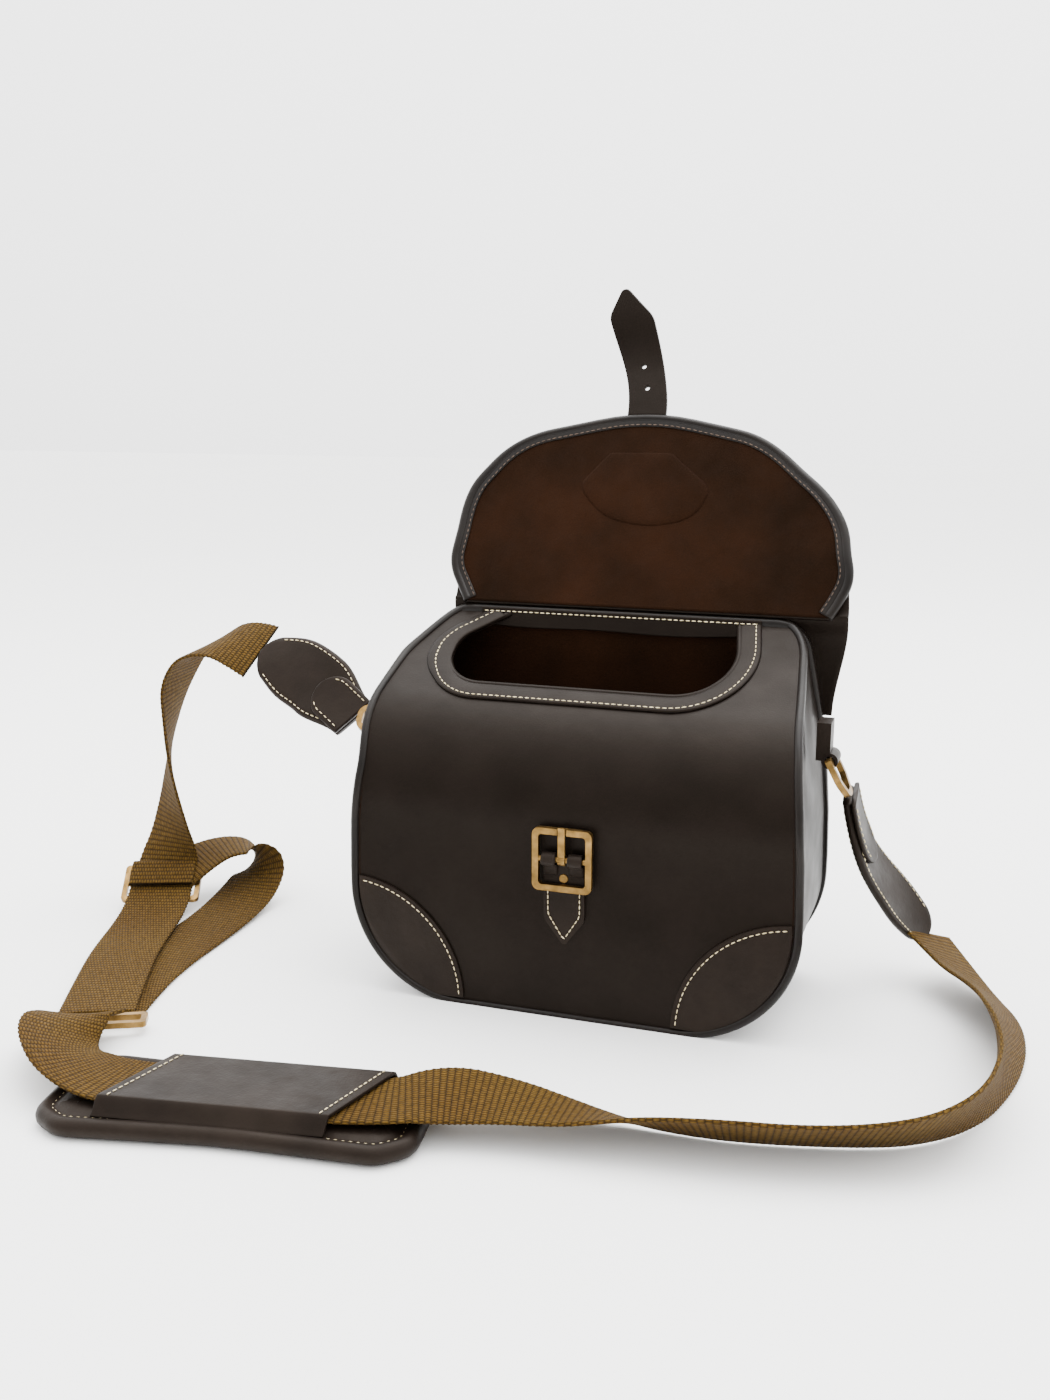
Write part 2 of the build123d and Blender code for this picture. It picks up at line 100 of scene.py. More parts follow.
def new_material(name, base, roughness, normal=None, **sockets):
    """A material whose shader takes these inputs. Each of them is made by a function of the node tree."""
    material = bpy.data.materials.new(name)
    material.use_nodes = True
    tree = material.node_tree
    shader = tree.nodes["Principled BSDF"]
    coords = tree.nodes.new("ShaderNodeTexCoord")
    inputs = {"Base Color": base(tree, coords), "Roughness": roughness(tree, coords)}
    if normal:
        inputs["Normal"] = normal(tree, coords)
    for key, socket in inputs.items():
        tree.links.new(socket, shader.inputs[key])
    for key, value in sockets.items():
        shader.inputs[key.replace("_", " ")].default_value = value
    material.diffuse_color = linear("5a4632")
    return material


def blotches(size, low, high, detail=3.0, stretch=(1, 1, 1), output="Object"):
    """Noise with patches of a real size in millimetres, between two hex colours or two numbers."""
    def make(tree, coords):
        place = add(tree, "ShaderNodeMapping", {"Vector": coords.outputs[output], "Scale": stretch})
        inputs = {"Vector": place.outputs["Vector"], "Scale": 1 / (size * MM), "Detail": detail}
        cloud = add(tree, "ShaderNodeTexNoise", inputs)
        fade = {"Value": cloud.outputs["Fac"], "From Min": 0.3, "From Max": 0.7}
        if isinstance(low, str):
            share = add(tree, "ShaderNodeMapRange", fade)
            colours = {0: share.outputs["Result"], 6: linear(low), 7: linear(high)}
            return add(tree, "ShaderNodeMix", colours, data_type="RGBA").outputs[2]
        fade.update({"To Min": low, "To Max": high})
        return add(tree, "ShaderNodeMapRange", fade).outputs["Result"]
    return make


def pores(spacing, depth, wave, wave_depth):
    """Bump for a hide: fine pores at one spacing, and slow waves in the surface at a larger one."""
    def make(tree, coords):
        cells = {"Vector": coords.outputs["Object"], "Scale": 1 / (spacing * MM)}
        grain = add(tree, "ShaderNodeTexVoronoi", cells, feature="SMOOTH_F1")
        waves = add(tree, "ShaderNodeTexNoise", {"Vector": coords.outputs["Object"], "Scale": 1 / (wave * MM)})
        slow = {"Height": waves.outputs["Fac"], "Distance": wave_depth * MM, "Strength": 1.0}
        under = add(tree, "ShaderNodeBump", slow)
        fine = {
            "Height": grain.outputs["Distance"],
            "Distance": depth * MM,
            "Strength": 0.8,
            "Normal": under.outputs["Normal"],
        }
        return add(tree, "ShaderNodeBump", fine).outputs["Normal"]
    return make


def bridle_leather():
    """Waxed bridle leather, drum dyed: close smooth grain, a satin wax shine and a faint cloudiness."""
    return new_material(
        "Bridle leather, waxed",
        blotches(38, "0a0604", "110c09"),
        blotches(22, 0.4, 0.5),
        pores(0.9, 0.05, 14, 0.25),
        Specular_IOR_Level=0.11,
        Specular_Tint=linear("e6d3c2"),
        Coat_Weight=0.02,
        Coat_Roughness=0.3,
    )


def edge_leather():
    """Thin skived leather rolled over a cord: stretched smooth, so it is darker and takes a sharper shine."""
    return new_material(
        "Piping leather, rolled",
        blotches(26, "0d0907", "15100c"),
        blotches(16, 0.32, 0.44),
        pores(0.8, 0.04, 9, 0.2),
        Specular_IOR_Level=0.15,
        Coat_Weight=0.02,
        Coat_Roughness=0.25,
    )


def patch_leather():
    """Softer chrome-tanned leather on the patches, the strap ends and the pad: a little browner and duller."""
    return new_material(
        "Chrome-tanned leather",
        blotches(30, "110c09", "1b1511"),
        blotches(14, 0.42, 0.55),
        pores(1.1, 0.07, 10, 0.3),
        Specular_IOR_Level=0.15,
        Specular_Tint=linear("e6d6c8"),
    )


def raw_edge():
    """The cut edge of brown leather, unpainted: fibrous, matt and a shade warmer than the dyed face."""
    return new_material(
        "Leather cut edge",
        blotches(2.5, "4a3222", "6d4c33", 4.0),
        blotches(3, 0.7, 0.85),
        pores(0.5, 0.12, 5, 0.1),
    )


def brown_suede():
    """Split suede, brushed: a matt nap that lies in streaks, warm brown with darker rubbed clouds."""
    def nap(tree, coords):
        place = {"Vector": coords.outputs["Object"], "Scale": (1.0, 2.5, 2.5)}
        lie = add(tree, "ShaderNodeMapping", place)
        hair = {"Vector": lie.outputs["Vector"], "Scale": 1 / (1.6 * MM), "Detail": 6.0, "Roughness": 0.7}
        fibres = add(tree, "ShaderNodeTexNoise", hair)
        bump = {"Height": fibres.outputs["Fac"], "Distance": 0.35 * MM, "Strength": 0.9}
        return add(tree, "ShaderNodeBump", bump).outputs["Normal"]
    return new_material(
        "Suede, brushed",
        blotches(55, "130903", "211107", 8.0),
        blotches(9, 0.88, 0.98),
        nap,
        Specular_IOR_Level=0.05,
        Sheen_Weight=0.03,
        Sheen_Roughness=0.6,
        Sheen_Tint=linear("8a5a3c"),
    )


def antique_brass():
    """Cast brass, chemically darkened and rubbed back: warm gold on the faces, brown patina in patches."""
    return new_material(
        "Brass, antiqued",
        blotches(6, "634c28", "927342", 4.0),
        blotches(4, 0.28, 0.5),
        pores(0.7, 0.03, 4, 0.08),
        Metallic=1.0,
    )


def thread(name, low, high):
    """Waxed linen thread, twisted: a dull fibre with a fine spiral that only shows as mottling."""
    return new_material(name, blotches(1.5, low, high), blotches(2, 0.6, 0.8))


def khaki_webbing():
    """Heavy spun-polyester webbing, plain woven: fat weft ribs crossed by warp cords, so it looks pebbled."""
    def pebbles(tree, coords):
        """Height of the weave, from 0 in the gaps to 1 on a cord, with every second row shifted by half. It also masks
        the painted shade in the gaps.
        """
        split = add(tree, "ShaderNodeSeparateXYZ", {"Vector": coords.outputs["UV"]})
        rows = {0: split.outputs["X"], 1: 1 / (RIB * MM)}
        row = add(tree, "ShaderNodeMath", rows, operation="MULTIPLY")
        half = {0: row.outputs[0], 1: 0.5}
        shift = add(tree, "ShaderNodeMath", {0: row.outputs[0]}, operation="FLOOR")
        odd = add(tree, "ShaderNodeMath", {0: shift.outputs[0], 1: 0.5}, operation="MULTIPLY")
        columns = {0: split.outputs["Y"], 1: 1 / (RIB_ACROSS * MM), 2: odd.outputs[0]}
        column = add(tree, "ShaderNodeMath", columns, operation="MULTIPLY_ADD")
        crowns = []
        for position in (row, column):
            turn = add(tree, "ShaderNodeMath", {0: position.outputs[0], 1: math.pi}, operation="MULTIPLY")
            wave = add(tree, "ShaderNodeMath", {0: turn.outputs[0]}, operation="SINE")
            crown = add(tree, "ShaderNodeMath", {0: wave.outputs[0]}, operation="ABSOLUTE")
            crowns.append(crown.outputs[0])
        both = add(tree, "ShaderNodeMath", {0: crowns[0], 1: crowns[1]}, operation="MULTIPLY")
        return add(tree, "ShaderNodeMath", {0: both.outputs[0], 1: 0.55}, operation="POWER").outputs[0]

    def base(tree, coords):
        yarn = blotches(3.0, "463410", "62491c", 5.0, output="UV")(tree, coords)
        worn = blotches(60, "e6ddcc", "ffffff", 2.0, output="UV")(tree, coords)
        # The gaps between the cords get a near-black colour: painted shade in the weave's hollows.
        gap_shade_mix = {0: pebbles(tree, coords), 6: linear("1c1204"), 7: yarn}
        woven = add(tree, "ShaderNodeMix", gap_shade_mix, data_type="RGBA").outputs[2]
        tone = {0: 1.0, 6: woven, 7: worn}
        return add(tree, "ShaderNodeMix", tone, data_type="RGBA", blend_type="MULTIPLY").outputs[2]

    def bump(tree, coords):
        height = {"Height": pebbles(tree, coords), "Distance": 0.8 * MM, "Strength": 0.9}
        return add(tree, "ShaderNodeBump", height).outputs["Normal"]

    return new_material("Webbing, plain woven", base, blotches(4, 0.78, 0.9, output="UV"), bump, Specular_IOR_Level=0.1)


def floor_paper():
    """Matt studio paper, off white and even."""
    return new_material("Studio paper", blotches(900, "fafaf9", "fdfdfc"), blotches(300, 0.85, 0.95))


BRIDLE = bridle_leather()
ROLLED = edge_leather()
SOFT_LEATHER = patch_leather()
RAW_EDGE = raw_edge()
SUEDE_NAP = brown_suede()
BRASS = antique_brass()
CREAM_THREAD = thread("Linen thread, cream", "b8a77c", "e0d2ac")
DARK_THREAD = thread("Linen thread, brown", "3a2b20", "54402f")
KHAKI = khaki_webbing()

# ---------------------------------------------------------------- lines


def rounded(points, radii, closed=True):
    """A 2D outline with straight sides and rounded corners, in steps of about four degrees."""
    corners = []
    count = len(points)
    for i, (point, radius) in enumerate(zip(points, radii)):
        corner = Vector(point)
        if radius <= 0:
            corners.append(corner)
            continue
        before = (Vector(points[i - 1]) - corner).normalized()
        after = (Vector(points[(i + 1) % count]) - corner).normalized()
        half_turn = (math.pi - before.angle(after)) / 2
        reach = radius * math.tan(half_turn)
        centre = corner + (before + after).normalized() * (radius / math.cos(half_turn))
        steps = max(2, math.ceil(math.degrees(2 * half_turn) / 4))
        start = corner + before * reach - centre
        sense = 1 if start.x * (after - before).y - start.y * (after - before).x > 0 else -1
        for k in range(steps + 1):
            angle = sense * 2 * half_turn * k / steps
            c, s = math.cos(angle), math.sin(angle)
            corners.append(centre + Vector((start.x * c - start.y * s, start.x * s + start.y * c)))
    if closed:
        corners.append(corners[0].copy())
    return corners


def lengths(points):
    """Distance from the first point to each point along a line."""
    total = [0.0]
    for a, b in zip(points, points[1:]):
        total.append(total[-1] + (b - a).length)
    return total


def spaced(points, count):
    """The same line as evenly spaced points."""
    total = lengths(points)
    result = []
    k = 0
    for i in range(count):
        want = total[-1] * i / (count - 1)
        while k < len(points) - 2 and total[k + 1] < want:
            k += 1
        span = total[k + 1] - total[k]
        share = (want - total[k]) / span if span else 0.0
        result.append(points[k].lerp(points[k + 1], min(1.0, share)))
    return result


def framed(points, ups, closed=False):
    """Frames (point, side, up) along a line. ups holds one direction for each point, or one for all."""
    count = len(points)
    frames = []
    for i, point in enumerate(points):
        if closed:
            ahead = points[(i + 1) % (count - 1)] - points[(i - 1) % (count - 1)]
        else:
            ahead = points[min(i + 1, count - 1)] - points[max(i - 1, 0)]
        up = ups[i] if isinstance(ups, list) else ups
        side = ahead.cross(up).normalized()
        frames.append((point, side, side.cross(ahead).normalized()))
    return frames


def smoothstep(x, low, high):
    """0 below low, 1 above high, and a smooth rise between."""
    t = min(1.0, max(0.0, (x - low) / (high - low)))
    return t * t * (3 - 2 * t)


# ---------------------------------------------------------------- making pieces


def full_shoulder(point):
    """The bag is fuller at its left shoulder, over the front seam, than at its right one."""
    if not -140 < point.x < -95 or point.z < 130:
        return
    high = smoothstep(point.z, 135, 180) * (1 - smoothstep(point.z, 195, 222))
    point.x -= 8.5 * high * (1 - smoothstep(point.y, 10, 57)) * smoothstep(-point.x, 98, 120)


def finish(name, bm, material, slot, body=None, solid=0.0, offset=-1.0, bevel=0.0, smooth=1):
    """Turn a shape in millimetres into a piece in metres, with its thickness, rounded edges and shading."""
    if body == "root":
        for vert in bm.verts:
            full_shoulder(vert.co)
    bmesh.ops.scale(bm, vec=(MM, MM, MM), verts=bm.verts)
    mesh = bpy.data.meshes.new(name)
    bm.to_mesh(mesh)
    bm.free()
    piece = bpy.data.objects.new(name, mesh)
    bpy.context.scene.collection.objects.link(piece)
    if solid:
        wall = piece.modifiers.new("thickness", "SOLIDIFY")
        wall.thickness = solid * MM
        wall.offset = offset
        wall.use_even_offset = False
    if bevel:
        edge = piece.modifiers.new("edges", "BEVEL")
        edge.width = bevel * MM
        edge.segments = 2
        edge.limit_method = "ANGLE"
        edge.angle_limit = math.radians(50)
    if piece.modifiers:
        bpy.context.view_layer.update()
        made = bpy.data.meshes.new_from_object(piece.evaluated_get(bpy.context.evaluated_depsgraph_get()))
        piece.modifiers.clear()
        piece.data = made
    made = piece.data
    made.name = name
    made.materials.clear()
    made.materials.append(material)
    for polygon in made.polygons:
        polygon.use_smooth = bool(smooth)
    if body:
        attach(piece, body)
    return piece


def mapped(columns, rows, place, merge=True):
    """A grid whose points are moved to place(u, v), with u and v from 0 to 1."""
    bm = bmesh.new()
    bmesh.ops.create_grid(bm, x_segments=columns, y_segments=rows, size=0.5)
    uv = bm.loops.layers.uv.new("UVMap")
    for face in bm.faces:
        for loop in face.loops:
            loop[uv].uv = (loop.vert.co.x + 0.5, loop.vert.co.y + 0.5)
    for vert in bm.verts:
        vert.co = place(vert.co.x + 0.5, vert.co.y + 0.5)
    if merge:
        bmesh.ops.remove_doubles(bm, verts=bm.verts, dist=0.01)
        bmesh.ops.dissolve_degenerate(bm, edges=bm.edges, dist=0.001)
    return bm


def sweep(frames, section, closed=False):
    """A tube along frames. section gives (side, up) offsets round the tube, as a list or for each share."""
    count = len(frames) - 1
    at = section if callable(section) else lambda share: section
    loops = [at(i / count) for i in range(count + 1)]
    round_count = len(loops[0])
    total = lengths([frame[0] for frame in frames])
    girth = [0.0]
    for (a0, b0), (a1, b1) in zip(loops[0], loops[0][1:] + loops[0][:1]):
        girth.append(girth[-1] + math.hypot(a1 - a0, b1 - b0))
    bm = bmesh.new()
    bmesh.ops.create_grid(bm, x_segments=count, y_segments=round_count, size=0.5)
    uv = bm.loops.layers.uv.new("UVMap")
    cells = {}
    for vert in bm.verts:
        cells[vert] = (round((vert.co.x + 0.5) * count), round((vert.co.y + 0.5) * round_count))
    for face in bm.faces:
        for loop in face.loops:
            i, j = cells[loop.vert]
            loop[uv].uv = (total[i] * MM, girth[j] * MM)
    for vert, (i, j) in cells.items():
        point, side, up = frames[i]
        a, b = loops[i][j % round_count]
        vert.co = point + side * a + up * b
    bmesh.ops.remove_doubles(bm, verts=bm.verts, dist=0.001)
    if not closed:
        ends = [edge for edge in bm.edges if edge.is_boundary]
        bmesh.ops.holes_fill(bm, edges=ends, sides=0)
    bmesh.ops.recalc_face_normals(bm, faces=bm.faces)
    return bm


def circle(radius, count=14):
    """Round section of a tube."""
    return [(radius * math.cos(2 * math.pi * k / count), radius * math.sin(2 * math.pi * k / count))
            for k in range(count)]


def strip(width, thickness, crown=0.0, count=10):
    """Flat section with rounded edges: the up side is raised in the middle by crown."""
    half, r = width / 2, thickness / 2
    top = []
    for k in range(count + 1):
        a = (half - r) * (1 - 2 * k / count)
        top.append((a, r + crown * (1 - (a / half) ** 2)))
    left = [(r - half - r * math.sin(t), r * math.cos(t)) for t in (math.pi / 4, math.pi / 2, 3 * math.pi / 4)]
    bottom = [(-a, -r) for a, _ in top]
    right = [(-a, b) for a, b in reversed(left)]
    return top + left + bottom + right


def stitches(name, frames, material=CREAM_THREAD, slot="stitching", body="root", pitch=STITCH_PITCH):
    """A row of thread stitches along frames, each a small capsule half sunk in the leather."""
    bm = bmesh.new()
    sew(bm, frames, pitch)
    return finish(name, bm, material, slot, body)


def sew(bm, frames, pitch=STITCH_PITCH, length=STITCH_LENGTH):
    """Add the stitches of one row to a shape."""
    points = [f[0] for f in frames]
    total = lengths(points)
    count = max(1, int(total[-1] / pitch))
    k = 0
    for i in range(count):
        want = (i + 0.5) * total[-1] / count
        while k < len(points) - 2 and total[k + 1] < want:
            k += 1
        share = (want - total[k]) / (total[k + 1] - total[k])
        centre = points[k].lerp(points[k + 1], share)
        along = (points[k + 1] - points[k]).normalized()
        up = frames[k][2].lerp(frames[k + 1][2], share).normalized()
        side = along.cross(up).normalized()
        turn = Matrix((side * STITCH_R, up * STITCH_R, along * (length / 2))).transposed().to_4x4()
        bmesh.ops.create_uvsphere(bm, u_segments=6, v_segments=4, radius=1.0, matrix=Matrix.Translation(centre) @ turn)


# ---------------------------------------------------------------- the bag's own surfaces

SHOULDER_START = 84.2    # along the top panel, from the back edge to where it starts to bend down
SHOULDER_Y = FRONT_Y + SHOULDER_R
SHOULDER_Z = 110.5
FRONT_LENGTH = SHOULDER_START + SHOULDER_R * (math.pi / 2 - SLOPE) + SHOULDER_Z


def bag_outline():
    """Right half of the front outline as (half width, height), from the floor to the top edge."""
    corners = [(0, 0), (HALF_WIDTH, 0), (HALF_WIDTH, WIDEST_Z), (TOP_HALF_WIDTH, HEIGHT), (0, HEIGHT)]
    line = rounded(corners, [0, 67, 520, 20, 0], closed=False)
    return line[1:-1]


OUTLINE = spaced(bag_outline(), 240)


def half_width(z):
    """Half the bag's width at a height."""
    for low, high in zip(OUTLINE, OUTLINE[1:]):
        if z <= high.y:
            span = high.y - low.y
            return low.x + (high.x - low.x) * ((z - low.y) / span if span > 1e-6 else 0.0)
    return OUTLINE[-1].x


def down_front(t):
    """Point (y, z) and outward direction at a distance down the front from the top of the back."""
    if t < SHOULDER_START:
        return BACK_Y - t * math.cos(SLOPE), HEIGHT - t * math.sin(SLOPE), -math.sin(SLOPE), math.cos(SLOPE)
    turn = SLOPE + (t - SHOULDER_START) / SHOULDER_R
    if turn < math.pi / 2:
        s, c = math.sin(turn), math.cos(turn)
        return SHOULDER_Y - SHOULDER_R * s, SHOULDER_Z + SHOULDER_R * c, -s, c
    return FRONT_Y, FRONT_LENGTH - t, -1.0, 0.0


def distance_down(z):
    """Distance down the front at which a height is reached."""
    if z <= SHOULDER_Z:
        return FRONT_LENGTH - z
    turn = math.acos(min(1.0, (z - SHOULDER_Z) / SHOULDER_R))
    if turn > SLOPE:
        return SHOULDER_START + (turn - SLOPE) * SHOULDER_R
    return (HEIGHT - z) / math.sin(SLOPE)


def on_front(x, t, out=0.0):
    """Point on the front leather at a distance across and down, raised by out."""
    y, z, ny, nz = down_front(t)
    share = min(1.0, abs(x) / half_width(z))
    swell = BULGE * (1 - share ** 2) * math.sin(math.pi * smoothstep(t, 60, FRONT_LENGTH))
    rise = out + swell
    return Vector((x, y + ny * rise, z + nz * rise))


def front_normal(t):
    """Outward direction of the front at a distance down it."""
    _, _, ny, nz = down_front(t)
    return Vector((0, ny, nz))


def seam_line(inset, count):
    """Points (x, t) round the edge of the front, from the top left, under the bag, to the top right."""
    right = [Vector((p.x - inset, distance_down(min(HEIGHT - inset, max(p.y, inset))))) for p in OUTLINE]
    left = [Vector((-p.x, p.y)) for p in reversed(right)]
    return spaced(left + right, count)


def mouth_line(grow, count, back=BACK_Y - LEATHER):
    """Points (x, t) round the mouth, from its back left, along the front, to its back right."""
    out = 0.65 * grow
    left = [(-71 - grow, back), (-98 - out, 29), (-95 - out, -8.5 - grow)]
    corners = left + [(87 + grow, -9 - grow), (75 + grow, back)]
    line = rounded(corners, [0, 22, 27 + out, 34 + grow, 0], closed=False)
    return spaced([Vector((p.x, (BACK_Y - p.y) / math.cos(SLOPE))) for p in line], count)


def front_sheet(out):
    """The front with the mouth left out of it: a band from the mouth's edge to the seam."""
    columns = 260
    inner, seam = mouth_line(0, columns + 1), seam_line(0.4, 2001)
    shares = [i / columns for i in range(columns + 1)]
    outer = [seam[round(2000 * (u - 0.13 * math.sin(2 * math.pi * u)))] for u in shares]

    def place(u, v):
        i = round(u * columns)
        x, t = inner[i].lerp(outer[i], v)
        return on_front(x, t, out)
    return mapped(columns, 54, place)


def gusset_sheet(inward):
    """The band round the sides and the bottom, with soft folds where it narrows towards the top."""
    columns = 300
    right = [Vector((p.x, p.y)) for p in OUTLINE]
    line = spaced([Vector((-p.x, p.y)) for p in reversed(right)] + right, columns + 1)
    normals = [Vector((b.y - a.y, a.x - b.x)).normalized() for a, b in zip([line[0]] + line, line[1:] + [line[-1]])]

    def place(u, v):
        i = round(u * columns)
        x, z = line[i]
        front = down_front(distance_down(z))[0]
        y = front + (BACK_Y - front) * v
        side = smoothstep(z, 20, 90) * (1 - smoothstep(z, 150, 215))
        folds = smoothstep(z, 120, 185) * (1 - smoothstep(z, 205, 219)) * math.sin(math.pi * v)
        sunk = 2.6 * side * math.sin(math.pi * v) ** 0.8 + 1.3 * folds * (1 + math.sin(6 * math.pi * v + x * 0.02))
        move = inward + sunk
        return Vector((x - normals[i].x * move, y, max(inward, z - normals[i].y * move)))
    return mapped(columns, 30, place)


def back_sheet(inward):
    """The flat back."""
    def place(u, v):
        p = OUTLINE[round(v * (len(OUTLINE) - 1))]
        return Vector(((2 * u - 1) * p.x, BACK_Y - inward, p.y))
    return mapped(60, len(OUTLINE) - 1, place)


def make_shell():
    """Leather outside and suede inside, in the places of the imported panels."""
    walls = (("front", front_sheet, (0, LEATHER)), ("gusset", gusset_sheet, (0, LEATHER)), ("back", back_sheet, (0, LEATHER)))
    for name, sheet, (outside, inside) in walls:
        sign = -1 if name == "front" else 1
        for layer, at, wall, material, slot in (
            ("leather", outside, LEATHER, BRIDLE, "bag_leather"),
            ("suede", inside + 0.1, SUEDE, SUEDE_NAP, "suede"),
        ):
            bm = sheet(sign * at)
            bmesh.ops.recalc_face_normals(bm, faces=bm.faces)
            face_outwards(bm)
            piece = finish(f"{name}_{layer}", bm, material, slot, "root", solid=wall, bevel=0.5)
            node = {"front": "front_panel", "gusset": "gusset", "back": "back_panel"}[name]
            if layer == "suede":
                node = f"{name}_lining"
            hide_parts(node)


def face_outwards(bm):
    """Turn a sheet's faces away from the middle of the bag."""
    middle = Vector((0, 0, 100))
    score = sum((f.calc_center_median() - middle).dot(f.normal) * f.calc_area() for f in bm.faces)
    if score < 0:
        bmesh.ops.reverse_faces(bm, faces=bm.faces)


def make_piping():
    """A rolled bead over the front seam."""
    line = seam_line(0, 520)
    points = [on_front(x, t, -0.4) for x, t in line]
    ups = [front_normal(t) for x, t in line]
    bead = finish("front_piping_bead", sweep(framed(points, ups), circle(BEAD_R)), ROLLED, "edge_leather", "root")
    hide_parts("front_piping")


def back_edge(count, inset=0.0):
    """Points (x, z) round the back panel's edge, from the bottom middle all the way round."""
    right = [Vector((0, 0))] + [Vector((p.x, p.y)) for p in OUTLINE] + [Vector((0, HEIGHT))]
    left = [Vector((-p.x, p.y)) for p in reversed(right)][1:]
    line = spaced(right + left, count)
    middle = Vector((0, HEIGHT / 2))
    if not inset:
        return line
    result = []
    for i, p in enumerate(line):
        ahead = line[(i + 1) % (count - 1)] - line[(i - 1) % (count - 1)]
        inwards = Vector((-ahead.y, ahead.x)).normalized()
        result.append(p + inwards * inset)
    return result


def make_back_binding():
    """A strip folded over the back panel's edge, from end to end round the bag."""
    line = back_edge(561)
    points = [Vector((p.x, BACK_Y - 1.4, p.y)) for p in line]
    points[-1] = points[0]
    half_depth, above, below = 3.6, 1.6, 8.5
    corners = [(-half_depth, -above), (half_depth, -above), (half_depth, below), (-half_depth, below)]
    loop = [(p.x, p.y) for p in spaced(rounded(corners, [2.0, 2.0, 1.2, 1.2]), 25)[:-1]]
    frames = framed(points, Vector((0, 1, 0)), closed=True)
    turned = [(p, Vector((0, 1, 0)), side) for p, side, up in frames]
    binding = finish("back_binding_strip", sweep(turned, loop, closed=True), ROLLED, "edge_leather", "root")
    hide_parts("back_binding")
    return turned


def make_mouth_facing():
    """The sewn band round the mouth: flat, with a rounded inner lip."""
    width = 13.0
    line = mouth_line(width / 2, 300, BACK_Y - 5.0)
    points = [on_front(x, t, 0.6) for x, t in line]
    ups = [front_normal(t) for x, t in line]
    band = finish("mouth_facing_band", sweep(framed(points, ups), strip(width, 1.6, 0.5)), BRIDLE, "bag_leather", "root")
    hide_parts("mouth_facing")
    line = mouth_line(width - 3.0, 300, BACK_Y - 6.0)
    points = [on_front(x, t, 1.75) for x, t in line]
    stitches("mouth_stitches", framed(points, [front_normal(t) for x, t in line]))
    line = mouth_line(-0.2, 300, BACK_Y - 5.0)
    points = [on_front(x, t, -0.5) for x, t in line]
    lip = sweep(framed(points, [front_normal(t) for x, t in line]), circle(2.0))
    finish("mouth_lip", lip, BRIDLE, "bag_leather", "root")


def make_mouth_back_strip():
    """The flat strip below the binding, across the back of the mouth, with its row of stitches."""
    left, right = -90.0, 88.0

    def place(u, v):
        x = left + (right - left) * u
        dip = 1.6 * math.sin(math.pi * u) + 0.7 * math.sin(11 * u)
        return Vector((x, BACK_Y - LEATHER - 3.4 + 0.8 * v, HEIGHT + 0.6 - (10.6 + dip) * (1 - v)))
    bm = mapped(70, 8, place)
    face_outwards(bm)
    finish("mouth_back_strip", bm, BRIDLE, "bag_leather", "root", solid=1.4, offset=0, bevel=0.5)
    points = [Vector((x, BACK_Y - LEATHER - 4.7, HEIGHT - 1.4)) for x in (-88, -50, 0, 50, 86)]
    stitches("back_strip_stitches", framed(spaced(points, 80), Vector((0, -1, 0))))


def make_corner_patches():
    """Quarter-round patches over the lower corners, with their stitched curved edge."""
    radius, inset = 71.0, 3.0

    def inside(x, z):
        return z >= inset and x <= half_width(max(0.0, z)) - inset

    def edge(angle, reach=radius):
        return HALF_WIDTH + 2 + reach * math.cos(angle), 2 + reach * math.sin(angle)

    low, high = math.radians(94.4), math.radians(178.8)
    for name, side in (("left", -1), ("right", 1)):
        def place(u, v, out=1.3):
            angle = low + (high - low) * u
            near, far = 0.0, radius
            for _ in range(18):
                half = (near + far) / 2
                if inside(*edge(angle, half)):
                    far = half
                else:
                    near = half
            x, z = edge(angle, radius + (far - radius) * v)
            thin = 1 - 0.5 * smoothstep(v, 0.9, 1.0)
            return on_front(side * x, FRONT_LENGTH - z, out * thin)
        bm = mapped(64, 22, place)
        bmesh.ops.recalc_face_normals(bm, faces=bm.faces)
        face_outwards(bm)
        patch = finish(f"{name}_corner_patch", bm, SOFT_LEATHER, "patch_leather", "root", solid=1.5, bevel=0.35)
        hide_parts(f"corner_patch_{name}")
        points = []
        for k in range(60):
            x, z = edge(low + 0.03 + (high - low - 0.05) * k / 59, radius - 2.8)
            points.append(on_front(side * x, FRONT_LENGTH - z, 1.4))
        stitches(f"{name}_patch_stitches", framed(points, Vector((0, -1, 0))))


# ---------------------------------------------------------------- the buckle


